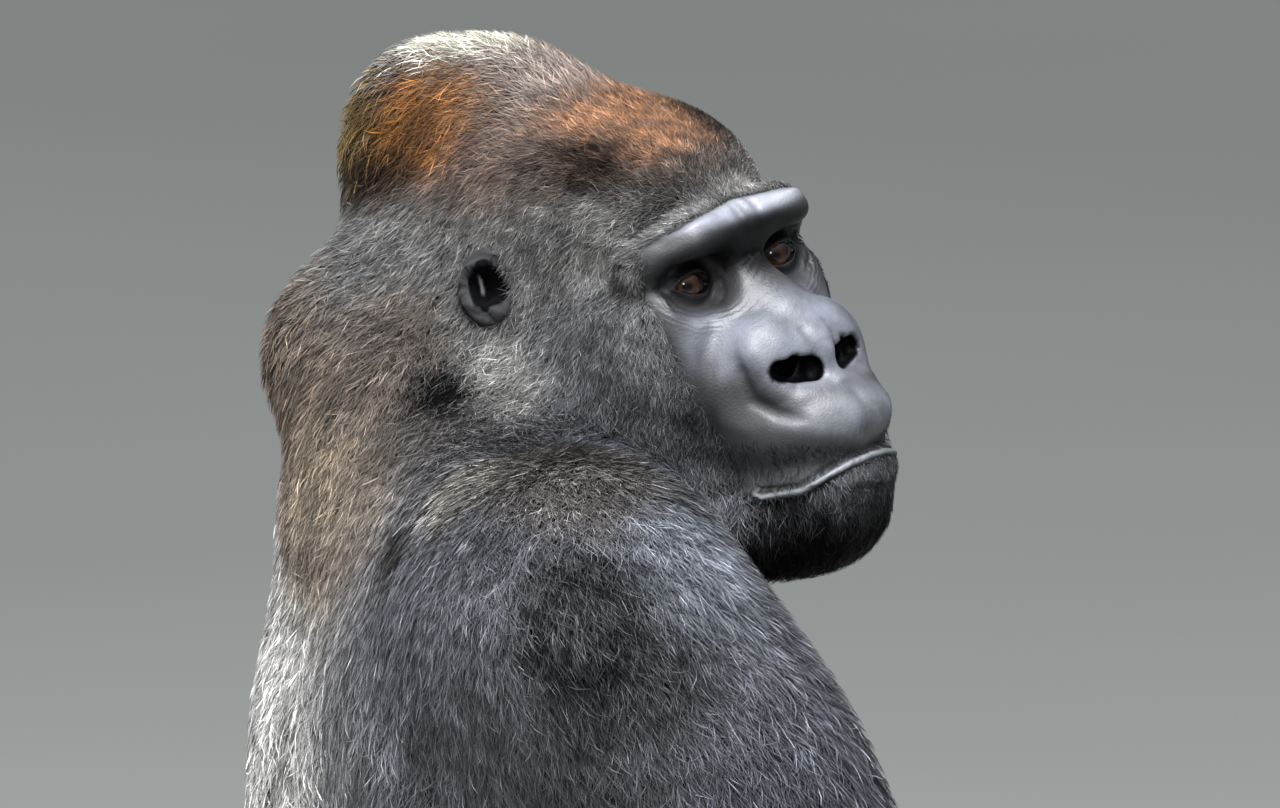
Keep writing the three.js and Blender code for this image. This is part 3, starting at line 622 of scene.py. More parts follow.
def carve(h, finest=0.0):
    """How far the creases at least as wide as finest sink the surface at head points h."""
    sink = np.zeros(len(h))
    for chain, width, depth, middle, bound in CARVED:
        near = np.linalg.norm(h - middle, axis=1) < bound + 3 * width
        if width >= finest and near.any():
            d, t = segment_distance(h[near], chain)
            ends = np.clip(np.minimum(t, 1 - t) * 5 + 0.25, 0, 1)
            sink[near] += depth * np.exp(-(d / width) ** 2) * ends
    return sink


def fold_lines(h):
    """Phases and strengths of two sets of fine lines: arcs round the eyes, lines over nose, brow and lips."""
    side, front, up = np.abs(h[:, 0]), h[:, 1], h[:, 2]
    reach = np.hypot(side - EYE_SPACING, (up + 2) * 1.25)
    below = step(-up + 0.3 * (side - EYE_SPACING), 4, 14)
    arcs = 0.8 * np.exp(-((reach - 25) / 8) ** 2) * below * step(front, -14, 0)
    bridge = 0.7 * np.exp(-(side / 16) ** 2) * np.exp(-((up + 6) / 14) ** 2)
    brow = 0.5 * np.exp(-((up - 40) / 8) ** 2) * step(front, 0, 14)
    lips = 0.5 * step(-up, 90, 102) * step(front, 20, 40)
    on_brow, on_nose, on_lips = up * 1.5 - side * 0.15, (up + 0.5 * side) * 1.6, side * 1.3 + 0.2 * up
    phase = np.select([up > 16, up > -72], [on_brow, on_nose], on_lips)
    return np.stack([reach * 1.8, arcs, phase, np.maximum.reduce([bridge, brow, lips])], 1)


FINGER_PITCH, CLEFT_WIDTH, CLEFT_DEPTH = 26.6, 3.2, 4.5


def clefts(p):
    """How far the three clefts between the folded fingers sink the skin at design points p."""
    x = np.abs(p[:, 0]) - KNUCKLES[0]
    gap = np.min([np.abs(x - c) for c in (-FINGER_PITCH, 0, FINGER_PITCH)], axis=0)
    sink = CLEFT_DEPTH * np.exp(-(gap / CLEFT_WIDTH) ** 2)
    return sink * step(p[:, 1], 400, 425) * (1 - step(p[:, 2], 62, 84))


NARROWEST = (None, 4.0, 2.2, 0.0)       # the narrowest crease that each stage carves; stage 0 carves none


def skin_field(p, stage=0):
    """The skin: the outline less the coat's depth, with ears, lids and bores, and the stage's creases."""
    d = outline(p) + skin_depth(p) + clefts(p)
    h = to_head(p)
    for side in (0, 1):
        near = np.abs(h - EAR * (1 - 2 * side, 1, 1)).max(1) < 48
        if near.any():
            d[near] = total(EARS[min(stage, 2)][side], p[near], d[near] - 0.3) + 0.3
    face = np.linalg.norm(h - (0, 25, -55), axis=1) < 130
    if face.any():
        q = h[face]
        sunk = total(BORES, p[face], d[face] + (carve(q, NARROWEST[stage]) if stage else 0))
        eye = (np.abs(np.abs(q[:, 0]) - EYE_SPACING) < 30) & (np.abs(q[:, 2]) < 28)
        sunk[eye] = with_lids(sunk[eye], q[eye])
        d[face] = sunk
    return d


# %% [markdown]
# ## One skin
# The field is sampled on a grid, coarse far from the surface and 10 mm fine near it, and turned into a closed
# mesh with one vertex for each cell that the surface crosses (surface nets). Faces on the head, the face and
# round the eyes, nose and mouth are then divided, and the vertices there are settled onto the field with
# Newton's step p - f(p) grad f / |grad f|^2.

# %% Surface nets
CELL, LOW, HIGH = 10.0, np.array([-440.0, -190.0, -14.0]), np.array([440.0, 700.0, 1130.0])


def sample(field):
    """The field on a grid: exact near the surface, and elsewhere copied from a grid four times as wide."""
    wide = 4 * CELL
    n = np.ceil((HIGH - LOW) / wide).astype(int) + 1
    axes = [LOW[i] + np.arange(n[i]) * wide for i in range(3)]
    fine = field(np.stack(np.meshgrid(*axes, indexing="ij"), -1).reshape(-1, 3)).reshape(n)
    for axis in range(3):
        fine = np.repeat(fine, 4, axis)
    fine = fine[tuple(slice(2, 2 + count) for count in (n - 1) * 4 + 1)].copy()
    near = np.abs(fine) < wide * 1.6
    fine[near] = field(LOW + np.argwhere(near) * CELL)
    return fine


def nets(fine):
    """Vertices and quads of the zero surface of a sampled field."""
    shape, inside = fine.shape, fine < 0
    count = sum(inside[i:shape[0] - 1 + i, j:shape[1] - 1 + j, k:shape[2] - 1 + k].astype(np.int8)
                for i in (0, 1) for j in (0, 1) for k in (0, 1))
    mixed = (count > 0) & (count < 8)
    cells = np.argwhere(mixed)
    index = np.full(mixed.shape, -1)
    index[mixed] = np.arange(len(cells))
    total_at, crossings = np.zeros((len(cells), 3)), np.zeros(len(cells))
    for corner in ((0, 0, 0), (1, 0, 0), (0, 1, 0), (1, 1, 0), (0, 0, 1), (1, 0, 1), (0, 1, 1)):
        for axis in range(3):
            if corner[axis]:
                continue
            other = list(corner)
            other[axis] = 1
            a, b = fine[tuple((cells + corner).T)], fine[tuple((cells + other).T)]
            cross = (a < 0) != (b < 0)
            at = (cells + corner).astype(float)
            at[:, axis] += np.where(cross, a / np.where(a == b, 1, a - b), 0)
            total_at[cross] += at[cross]
            crossings[cross] += 1
    points = total_at / crossings[:, None] * CELL + LOW
    quads = []
    for axis in range(3):
        u, v = (axis + 1) % 3, (axis + 2) % 3
        a = np.take(inside, range(shape[axis] - 1), axis)
        b = np.take(inside, range(1, shape[axis]), axis)
        e = np.argwhere(a != b)
        e = e[(e[:, u] > 0) & (e[:, v] > 0) & (e[:, u] < mixed.shape[u]) & (e[:, v] < mixed.shape[v])]
        du, dv = np.eye(3, dtype=int)[u], np.eye(3, dtype=int)[v]
        q = np.stack([index[tuple(corner.T)] for corner in (e - du - dv, e - dv, e, e - du)], 1)
        out = ~a[tuple(e.T)]
        q[out] = q[out][:, ::-1]
        quads.append(q)
    return points, np.concatenate(quads)


def read(grid, p):
    """The value and gradient of a sampled field at p, linear inside each cell of the grid."""
    q = np.clip((p - LOW) / CELL, 0, np.array(grid.shape) - 1.001)
    i = q.astype(int)
    f = q - i
    corner = {(a, b, c): grid[i[:, 0] + a, i[:, 1] + b, i[:, 2] + c]
              for a in (0, 1) for b in (0, 1) for c in (0, 1)}
    share = [np.stack([1 - f[:, k], f[:, k]]) for k in range(3)]
    value = sum(v * share[0][a] * share[1][b] * share[2][c] for (a, b, c), v in corner.items())
    slopes = [sum(v * (2 * a - 1) * share[1][b] * share[2][c] for (a, b, c), v in corner.items()),
              sum(v * (2 * b - 1) * share[0][a] * share[2][c] for (a, b, c), v in corner.items()),
              sum(v * (2 * c - 1) * share[0][a] * share[1][b] for (a, b, c), v in corner.items())]
    return value, np.stack(slopes, 1) / CELL


NUDGE, SETTLE_ROUNDS, LONGEST_MOVE = 0.4, 3, 1.8


def slope(field, p):
    """The field's gradient at p by central differences."""
    return np.stack([(field(p + e) - field(p - e)) / (2 * NUDGE) for e in np.eye(3) * NUDGE], 1)


def settle_points(field, p):
    """Points moved onto the zero surface by a few of Newton's steps."""
    for _ in range(SETTLE_ROUNDS):
        d, g = field(p), slope(field, p)
        move = np.clip(d, -LONGEST_MOVE, LONGEST_MOVE)[:, None] * g
        p = p - move / np.maximum((g * g).sum(1, keepdims=True), 0.25)
    return p


OUTLINE = sample(outline)
points, quads = nets(sample(skin_field))
print("skin cells", len(points), "faces", len(quads))

# %% [markdown]
# The division works in rounds. Each round picks the edges inside a feature's ellipsoid, splits them, lets the
# vertices there slide towards the middle of their neighbours, and settles them onto the field again, each
# time with finer creases. The hands and feet get one or two rounds of their own.

# %% Dividing the head
FEATURES = [  # centre in head coordinates, half sizes of an ellipsoid, last round that it takes part in
    ((0, -60, -10), (114, 180, 158), 1),                       # the head
    ((0, 30, -60), (78, 70, 106), 2),                          # the face
    ((93, -104, 18), (22, 24, 28), 3),                         # the ears
    ((0, 50, -60), (60, 46, 37), 3),                           # the nose
    ((0, 60, -118), (62, 52, 20), 3),                          # the lips
    ((0, 14, 26), (74, 30, 20), 3),                            # the brow
    ((0, 58, -117), (58, 46, 7), 4),                           # the line of the mouth
    ((EYE_SPACING, 4, -1), (24, 20, 17), 4),                   # the eyes
]
FAR_FEATURES = [  # the same in design coordinates: the hands, the folded fingers and the toes
    ((95, 445, 46), (84, 56, 54), 1), ((100, 464, 38), (58, 24, 40), 2), ((305, 585, 12), (70, 62, 38), 1),
]
ROUNDS = 4


def feature_level(p):
    """The number of divisions wanted at design points p."""
    level = np.zeros(len(p), int)
    for at, features in ((to_head(p), FEATURES), (p, FAR_FEATURES)):
        at = at * np.where(at[:, :1] < 0, FLIP, 1)
        for centre, size, rounds in features:
            level = np.maximum(level, np.where((((at - centre) / size) ** 2).sum(1) < 1, rounds, 0))
    return level


def relax(co, edges, chosen):
    """Chosen vertices moved half way to the middle of their neighbours, twice."""
    a, b = np.concatenate([edges, edges[:, ::-1]]).T
    count = np.maximum(np.bincount(a, minlength=len(co)), 1)
    for _ in range(2):
        middle = np.stack([np.bincount(a, co[b, i], len(co)) for i in range(3)], 1) / count[:, None]
        co[chosen] += 0.5 * (middle - co)[chosen]
    return co


def mesh_edges(mesh):
    """Vertex pairs of a mesh's edges."""
    ends = np.empty(len(mesh.edges) * 2, np.int32)
    mesh.edges.foreach_get("vertices", ends)
    return ends.reshape(-1, 2)


def mesh_arrays(mesh):
    """Vertex positions and loop-triangle corners of a mesh."""
    co = np.empty(len(mesh.vertices) * 3)
    mesh.vertices.foreach_get("co", co)
    mesh.calc_loop_triangles()
    tri = np.empty(len(mesh.loop_triangles) * 3, np.int32)
    mesh.loop_triangles.foreach_get("vertices", tri)
    return co.reshape(-1, 3), tri.reshape(-1, 3)


skin_mesh = bpy.data.meshes.new("skin")
skin_mesh.from_pydata(points.tolist(), [], quads.tolist())
for stage in range(ROUNDS):
    co, _ = mesh_arrays(skin_mesh)
    chosen = np.flatnonzero(feature_level(co[mesh_edges(skin_mesh)].mean(1)) > stage)
    bm = bmesh.new()
    bm.from_mesh(skin_mesh)
    bm.edges.ensure_lookup_table()
    bmesh.ops.subdivide_edges(bm, edges=[bm.edges[i] for i in chosen], cuts=1, use_grid_fill=True)
    bm.to_mesh(skin_mesh)
    bm.free()
    co, _ = mesh_arrays(skin_mesh)
    inside = feature_level(co) > stage
    co = relax(co, mesh_edges(skin_mesh), inside)
    co[inside] = settle_points(lambda p: skin_field(p, stage), co[inside])
    skin_mesh.vertices.foreach_set("co", co.ravel())
    print("round", stage + 1, "vertices", len(co), "faces", len(skin_mesh.polygons))

# %% [markdown]
# ## Markings
# Skin and coat share one set of markings, so they are worked out once, as a function of place. A silverback
# is charcoal on the arms, legs and shoulders, with a pale saddle down the back and over the hips. Its crown
# is rusty, brightest on the crest and over the brow, and its cheeks are grizzled grey. Each marking is a soft
# ellipsoid with a colour, laid over the ones before it. Two of them are painted light: a pale sheen along the
# crest's fringe and a painted shadow in the fold below each ear. The bare skin has a list of its own, with
# painted sheen on its brow, nose and cheeks and painted shade under the brow and round the eyes.

# %% Markings
def linear(rgb):
    """sRGB values 0 to 255 to linear light."""
    c = np.asarray(rgb, float) / 255
    return np.where(c <= 0.04045, c / 12.92, ((c + 0.055) / 1.055) ** 2.4)


CHARCOAL = (75, 75, 79)
MARKINGS = [  # name, centre, half sizes, colour, strength, both sides, in the head's axes
    ("back", (0, -110, 620), (170, 150, 300), (142, 136, 129), 1.0, False, False),
    ("saddle", (0, -120, 500), (176, 150, 330), (206, 204, 200), 1.0, False, False),
    ("hips", (90, -60, 200), (120, 150, 150), (186, 182, 178), 0.9, True, False),
    ("thigh", (230, 110, 270), (130, 140, 90), (108, 104, 102), 0.6, True, False),
    ("nape", (0, -50, 885), (120, 90, 90), (96, 81, 66), 0.9, False, False),
    ("upper back", (-60, -60, 806), (80, 70, 60), (136, 122, 105), 0.9, False, False),
    ("neck side", (-80, 30, 860), (60, 70, 60), (60, 56, 52), 0.8, False, False),
    ("shoulder back", (200, -60, 700), (130, 90, 160), (102, 103, 108), 0.8, True, False),
    ("upper arm front", (325, 160, 700), (60, 80, 110), (84, 86, 93), 0.8, True, False),
    ("shoulder swirl", (322, 44, 790), (48, 66, 60), (22, 22, 22), 0.8, True, False),
    ("shoulder top", (250, 34, 868), (90, 70, 30), (116, 110, 102), 0.7, True, False),
    ("shoulder rim", (289, 112, 818), (40, 56, 46), (122, 127, 137), 0.7, True, False),
    ("shoulder slope", (184, -12, 844), (36, 36, 28), (150, 144, 136), 0.85, True, False),
    ("shoulder notch", (154, -44, 804), (20, 26, 24), (44, 39, 36), 0.9, True, False),
    ("chest", (0, 240, 690), (130, 90, 100), (50, 47, 46), 0.8, False, False),
    ("head", (0, -120, 20), (120, 180, 130), (96, 94, 90), 1.0, False, True),
    ("side of head", (85, -120, 50), (50, 80, 50), (88, 87, 85), 0.6, True, True),
    ("cheek", (80, -40, -20), (30, 40, 36), (66, 66, 69), 0.8, True, True),
    ("jaw", (76, -40, -80), (40, 60, 44), (58, 59, 63), 0.8, True, True),
    ("under ear", (108, -88, -30), (22, 30, 26), (132, 130, 124), 0.85, True, True),
    ("neck", (125, -165, 0), (46, 50, 44), (86, 75, 64), 0.75, True, True),
    # painted shadow: near-black where the head meets the neck below the ear
    ("shadow in the fold below the ear", (128, -114, -28), (22, 25, 18), (5, 5, 5), 1.0, True, True),
    ("crown brown", (34, -90, 100), (70, 110, 46), (86, 68, 56), 0.95, True, True),
    ("crown grey", (0, -92, 122), (36, 44, 22), (138, 124, 114), 0.8, False, True),
    ("crest rust", (52, -174, 118), (42, 62, 34), (106, 66, 22), 1.0, True, True),
    ("crest back", (30, -240, 116), (50, 36, 34), (94, 74, 34), 0.9, True, True),
    ("crest low", (60, -218, 90), (36, 54, 20), (40, 25, 10), 0.95, True, True),
    # painted sheen: the pale fringe along the top of the crest
    ("crest fringe sheen", (0, -142, 157), (26, 92, 22), (214, 208, 190), 1.0, False, True),
    ("forehead rust", (0, -42, 86), (56, 58, 30), (126, 86, 56), 1.0, False, True),
    ("forehead dark", (48, -44, 74), (28, 48, 20), (34, 23, 15), 0.95, True, True),
    ("brow edge", (0, 0, 58), (70, 26, 12), (56, 48, 42), 0.8, False, True),
    ("beard", (0, 34, -160), (64, 60, 38), (23, 23, 21), 1.0, False, True),
    ("beard side", (50, 38, -150), (26, 34, 24), (6, 6, 6), 0.95, True, True),
    ("throat", (0, -40, -190), (60, 60, 40), (60, 58, 56), 0.8, False, True),
]


def coat_colour(p):
    """The coat's colour at p: each marking's ellipsoid fades out between 0.6 and 1.3 of its half sizes."""
    colour = np.tile(linear(CHARCOAL), (len(p), 1))
    h = to_head(p)
    for _, at, size, rgb, strength, sides, head in MARKINGS:
        q = (h if head else p).copy()
        if sides:
            q[:, 0] = np.abs(q[:, 0])
        reach = np.sqrt((((q - at) / size) ** 2).sum(1))
        w = (1 - step(reach, 0.6, 1.3)) * strength
        if not head and at[2] > 780:      # a marking of the neck or shoulder stops short of the head
            w = w * step(np.linalg.norm(h - (0, -100, 40), axis=1), 140, 170)
        colour += w[:, None] * (linear(rgb) - colour)
    return colour


SHADED = ("brow underside", "eye pit", "between the eyes")
BARE_MARKS = [  # name, centre in head coordinates, half sizes, colour; all on both sides
    # painted highlight: the pale brow top is the sheen of the light above; the paler nose, cheek skin and
    # upper lip are partly painted sheen
    ("lit brow top", (0, 16, 41), (84, 44, 12), (140, 142, 152)),
    # painted shade: near-black under the brow
    ("brow underside", (0, 24, 13.5), (74, 34, 17), (9, 8, 8)),
    ("nose", (0, 50, -44), (46, 38, 34), (112, 115, 125)),
    ("cheek skin", (46, 22, -34), (24, 28, 22), (108, 110, 120)),
    ("upper lip", (0, 70, -96), (54, 44, 22), (118, 121, 128)),
    ("muzzle side", (52, 24, -92), (18, 26, 28), (84, 84, 87)),
    # painted shade: near-black in the eye pits and between the eyes
    ("eye pit", (EYE_SPACING + 2, 6, 5), (29, 22, 14), (9, 8, 8)),
    ("between the eyes", (0, 18, 8), (22, 18, 15), (12, 11, 11)),
    ("chin skin", (0, 50, -142), (60, 60, 20), (20, 20, 20)),
    ("ear", (92, -104, 20), (24, 28, 30), (17, 16, 16)),
    ("ear ridge", (90, -106, 21), (12, 9, 13), (120, 117, 114)),
]


def spot(h, at, size):
    """1 in the middle of an ellipsoid, 0 outside it."""
    return 1 - step(np.sqrt((((h - at) / size) ** 2).sum(1)), 0.5, 1.25)


def ear_hollow(h):
    """How far h lies inside the bowl of the left ear, in mm, but for the paler ridge down its back."""
    out, back, up = (h - EAR) @ EAR_OUT, (h - EAR) @ EAR_BACK, (h - EAR) @ EAR_UP
    ridge = np.exp(-((back - 3.8) / 2.2) ** 2 - ((up - 1) / 9) ** 4)
    return np.clip(4.5 - out, 0, 8) * (1 - step(np.hypot(back + 1.5, up / 1.3), 10.5, 13)) * (1 - ridge)


def skin_colour(p):
    """Slate-black skin, paler on brow, nose, cheeks and lips, partly painted sheen, with painted shade in
    creases and hollows.
    """
    colour = np.tile(linear((44, 43, 46)), (len(p), 1))
    h = to_head(p)
    h[:, 0] = np.abs(h[:, 0])
    for _, at, size, rgb in BARE_MARKS:
        colour += spot(h, at, size)[:, None] * (linear(rgb) - colour)
    # painted shade: the skin of the lower face darkens towards the cheeks' hair
    low = 1 - step(h[:, 2], -22, -6)
    colour *= (1 - 0.62 * low * (1 - step(h[:, 1] - hair_edge(h[:, 2]), 0, 22)))[:, None]
    above, turn = above_mouth(*h.T)
    bristly = lip_shade(h[:, 0], h[:, 2]) * low
    # painted highlight: a pale band along the lower lip
    lip_highlight = np.exp(-((above + 3.0) / (2.3 - 1.3 * step(turn, 40, 84))) ** 4) * (1 - step(turn, 80, 88))
    in_mouth = np.exp(-(above / 1.7) ** 2) * (1 - step(turn, 82, 92))
    for w, rgb in ((bristly, (76, 78, 81)), (lip_highlight, (126, 130, 134)), (in_mouth, (8, 7, 7))):
        colour += w[:, None] * (linear(rgb) - colour)
    # painted shade: darker in the carved creases and deep in the ear bowls
    sink = np.clip(carve(to_head(p)), -2, 4)
    return colour * np.exp(-0.25 * sink - 0.5 * ear_hollow(h))[:, None]


def hollow_shade(h):
    """1 inside the bowls of the ears and the nostrils, where the skin is painted near-black as painted shade.
    """
    p, q = from_head(h), h * np.where(h[:, :1] < 0, FLIP, 1)
    bores = np.min([distance(m, p) for m in BORES + NOSTRILS], axis=0)
    return np.maximum(step(ear_hollow(q), 0.3, 2.5), 1 - step(bores, 0.6, 2.0))


def shade(h):
    """1 in the deep shadow under the brow, round the eyes and between them."""
    q = h * np.where(h[:, :1] < 0, FLIP, 1)
    return np.max([spot(q, at, size) for name, at, size, _ in BARE_MARKS if name in SHADED], axis=0)


# %% [markdown]
# ## Shader helper
# Materials are written as sums: a small class wraps a socket and overloads the operators, so that a mask
# reads like arithmetic. One method adds any other node from its type, settings and values.

# %% Shader helper
class Value:
    """A socket that can be added, subtracted and multiplied."""

    def __init__(self, tree, socket):
        self.tree, self.socket = tree, socket

    def math(self, operation, other=None, swap=False):
        """A Math node on this value and another."""
        pair = (other, self) if swap else (self, other)
        values = {i: v for i, v in enumerate(pair) if v is not None}
        return self.tree.node("ShaderNodeMath", {"operation": operation}, values)

    def __add__(self, o):
        return self.math("ADD", o)

    def __radd__(self, o):
        return self.math("ADD", o, True)

    def __sub__(self, o):
        return self.math("SUBTRACT", o)

    def __rsub__(self, o):
        return self.math("SUBTRACT", o, True)

    def __mul__(self, o):
        return self.math("MULTIPLY", o)

    def __rmul__(self, o):
        return self.math("MULTIPLY", o, True)

    def sine(self):
        """The sine of this value."""
        return self.math("SINE")

    def between(self, low, high):
        """0 at low, 1 at high, smooth between."""
        values = {0: self, 1: low, 2: high, 3: 0.0, 4: 1.0}
        return self.tree.node("ShaderNodeMapRange", {"interpolation_type": "SMOOTHSTEP"}, values)


class Nodes:
    """A node tree that is built node by node."""

    def __init__(self, tree):
        self.tree = tree

    def node(self, kind, settings=None, values=None, out=0):
        """Any node: its settings first, then its sockets' values or links."""
        made = self.tree.nodes.new(kind)
        for key, value in (settings or {}).items():
            if key == "stops":
                ramp = made.color_ramp
                while len(ramp.elements) < len(value):
                    ramp.elements.new(0.5)
                for element, (at, colour) in zip(ramp.elements, value):
                    element.position, element.color = at, (*colour, 1)
            else:
                setattr(made, key, value)
        for key, value in (values or {}).items():
            if isinstance(value, Value):
                self.tree.links.new(value.socket, made.inputs[key])
            else:
                made.inputs[key].default_value = value
        return Value(self, made.outputs[out])


class Finish(Nodes):
    """A material with one Principled shader."""

    def __init__(self, name, **constants):
        self.material = bpy.data.materials.new(name)
        self.material.use_nodes = True
        super().__init__(self.material.node_tree)
        self.shader = self.tree.nodes["Principled BSDF"]
        for key, value in constants.items():
            self.shader.inputs[key.replace("_", " ").title().replace("Ior", "IOR")].default_value = value

    def place(self, scale=(1, 1, 1)):
        """Object coordinates, scaled."""
        at = self.node("ShaderNodeTexCoord", out="Object")
        return self.node("ShaderNodeMapping", {}, {"Vector": at, "Scale": scale})

    def noise(self, vector, scale, detail=3.0):
        """Soft noise, 0 to 1."""
        values = {"Vector": vector, "Scale": scale, "Detail": detail, "Roughness": 0.55}
        return self.node("ShaderNodeTexNoise", {}, values)

    def cells(self, vector, scale, feature="F1"):
        """Distance to the nearest of scattered points, or to the edge between two of them."""
        values = {"Vector": vector, "Scale": scale}
        return self.node("ShaderNodeTexVoronoi", {"feature": feature}, values, out="Distance")

    def attribute(self, name, out="Color"):
        """A colour or number stored on the mesh."""
        return self.node("ShaderNodeAttribute", {"attribute_name": name}, {}, out=out)

    def mix(self, factor, a, b, blend="MIX"):
        """Two colours mixed."""
        a, b = (c if isinstance(c, Value) else (*c, 1) for c in (a, b))
        settings = {"data_type": "RGBA", "blend_type": blend}
        return self.node("ShaderNodeMix", settings, {0: factor, 6: a, 7: b}, out=2)

    def bump(self, height, distance, under=None):
        """A Bump node: height 0 to 1 stands for 0 to distance in metres, over another Bump node's normal."""
        values = {"Height": height, "Distance": distance, "Strength": 0.5}
        if under is not None:
            values["Normal"] = under
        return self.node("ShaderNodeBump", {}, values)

    def connect(self, **links):
        """Link values into the Principled shader."""
        for key, value in links.items():
            self.tree.links.new(value.socket, self.shader.inputs[key.replace("_", " ").title()])
        return self.material


# %% [markdown]
# ## The skin's finish
# Gorilla hide is slate-black, dry and leathery: fine pores and cross-hatched wrinkles on the face and hands,
# with a dull satin shine. Under the coat it takes a dark tint of the hair above it, so that no gap shows
# bright. The nostrils, the ear bowls and the shadow under the brow are painted shade: painted near-black and
# made metallic as well, because a near-black metal throws back none of the sheen that skin would.

# %% Skin finish
LINE_SCALE = 300.0        # phases are stored divided by this


def hide():
    """Slate hide: tint from the mesh; lines, pores and leather cells as bump; damp rims round the eyes."""
    f = Finish("hide", specular_ior_level=0.75)
    at = f.place()
    pores, leather = f.cells(at, 820.0), f.cells(at, 380.0, "DISTANCE_TO_EDGE")
    fine = f.noise(at, 1300.0, 2.0)
    patch, drift = f.noise(at, 38.0, 4.0), f.noise(at, 75.0, 3.0) * 14.0
    colour = f.mix(0.7 * patch.between(0.3, 0.75), f.attribute("Tint"), (0.020, 0.020, 0.022))
    # metallic where shade is painted, so the skin throws back no sheen there
    wet, matt, hollow = (f.attribute(name, "Fac") for name in ("Wet", "Matt", "Void"))
    arc, arc_strength, line = (f.node("ShaderNodeSeparateColor", {}, {0: f.attribute("Lines")}, out=i)
                               for i in range(3))
    line_strength = f.attribute("Lines", "Alpha")
    arcs = (arc * LINE_SCALE + drift).sine() * arc_strength
    lines = (line * LINE_SCALE + drift).sine() * line_strength
    deep = f.bump((arcs + lines) * (patch * 2.0 - 0.3), 0.0004)
    normal = f.bump(leather.between(0.0, 0.3) * 0.35 + pores * 0.3 + fine * 0.35, 0.00026, deep)
    rough = (0.44 + 0.14 * patch + 0.4 * matt) * (1 - 0.75 * wet)
    return f.connect(base_color=colour, roughness=rough, normal=normal, coat_weight=wet, metallic=hollow)


def add_attribute(mesh, name, kind, values):
    """One number or colour for each vertex."""
    layer = mesh.attributes.new(name, kind, "POINT")
    field = "value" if kind == "FLOAT" else "color"
    layer.data.foreach_set(field, np.ascontiguousarray(values, np.float32).ravel())


def rgba(colour):
    """Colours with a full alpha."""
    return np.concatenate([colour, np.ones((len(colour), 1))], 1)


def damp(h):
    """1 on the rims of the lids, where they touch the eyeball, at head points h."""
    wet = np.zeros(len(h))
    near = (np.abs(np.abs(h[:, 0]) - EYE_SPACING) < 26) & (np.abs(h[:, 2]) < 24) & (np.abs(h[:, 1]) < 24)
    gap, reach, _ = almond(h[near])
    wet[near] = np.exp(-np.maximum(gap - 0.2, 0) / 0.7 - ((reach - EYE_RADIUS) / 2.5) ** 2)
    return wet


co, tri = mesh_arrays(skin_mesh)
h, bare = to_head(co), bareness(co)
under, hollow = coat_colour(co) * 0.14, hollow_shade(h)
# painted shade: the ear bowls and the nostrils are painted near-black
tint = (under + bare[:, None] * (skin_colour(co) - under)) * (1 - 0.97 * hollow[:, None])
# painted shade as metal: in the hollows, under the coat and, three quarters strong, under the brow and round
# the eyes
unlit = np.maximum.reduce([hollow, 1 - step(bare, 0, 0.5), 0.75 * shade(h)])
lines = fold_lines(h) / (LINE_SCALE, 1, LINE_SCALE, 1) + (0.5, 0, 0.5, 0)
add_attribute(skin_mesh, "Tint", "FLOAT_COLOR", rgba(tint))
add_attribute(skin_mesh, "Wet", "FLOAT", damp(h))
add_attribute(skin_mesh, "Matt", "FLOAT", np.maximum(1 - bare, step(np.abs(h[:, 0]), 66, 76)))
add_attribute(skin_mesh, "Void", "FLOAT", unlit)
add_attribute(skin_mesh, "Lines", "FLOAT_COLOR", lines)
skin_mesh.vertices.foreach_set("co", row(co).ravel())
skin_mesh.polygons.foreach_set("use_smooth", np.ones(len(skin_mesh.polygons), bool))
bm = bmesh.new()
bm.from_mesh(skin_mesh)
bmesh.ops.recalc_face_normals(bm, faces=bm.faces)
bm.to_mesh(skin_mesh)
bm.free()
skin_mesh.materials.append(hide())
skin = bpy.data.objects.new("skin", skin_mesh)
bpy.context.collection.objects.link(skin)
flesh = [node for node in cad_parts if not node.startswith("eye_")]
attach(skin, "root")
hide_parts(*flesh)
skin_mesh.calc_loop_triangles()
print("skin triangles", len(skin_mesh.loop_triangles), "bare share", round(float(bare.mean()), 3))

# %% [markdown]
# ## Eyes
# Each eye is a ball with a slightly bulging cornea. The white is stained dark brown, as in most gorillas, the
# iris is amber-brown with fine spokes and a dark rim, and the pupil is black. Both eyes look back over the
# right shoulder. The ball is a surface of revolution about the gaze: rings at polar angle t, turned by a.

# %% Eyes
GAZE = unit((-0.485, 0.875, 0.0))       # in the head's axes
IRIS = 9.1 / EYE_RADIUS                 # polar angle of the iris's rim


def eye_surface(side, rings=48, spokes=64):
    """Radius R - 0.35 + 0.9 exp(-(t / 0.5)^2) at polar angle t from the gaze, with turn and t as the map."""
    t = np.pi * (np.arange(rings + 1) / rings) ** 1.25
    a = 2 * np.pi * np.arange(spokes + 1) / spokes
    t, a = np.meshgrid(t, a, indexing="ij")
    right = unit(np.cross(GAZE, (0, 0, 1)))
    up = np.cross(right, GAZE)
    r = EYE_RADIUS - 0.35 + 0.9 * np.exp(-(t / 0.5) ** 2)
    aside = np.cos(a)[..., None] * right + np.sin(a)[..., None] * up
    p = np.cos(t)[..., None] * GAZE + np.sin(t)[..., None] * aside
    at = np.array((side * EYE_SPACING, -EYE_DEPTH, 0.0))
    points = row(from_head(at + r[..., None] * p))
    uv = np.stack([a / (2 * np.pi), t / np.pi], -1)
    return points.reshape(-1, 3), uv.reshape(-1, 2), grid_faces(*t.shape)


def grid_faces(rows, columns):
    """Quads of a grid of points, row after row."""
    i, j = np.meshgrid(np.arange(rows - 1), np.arange(columns - 1), indexing="ij")
    a = (i * columns + j).ravel()
    return np.stack([a, a + 1, a + columns + 1, a + columns], 1)


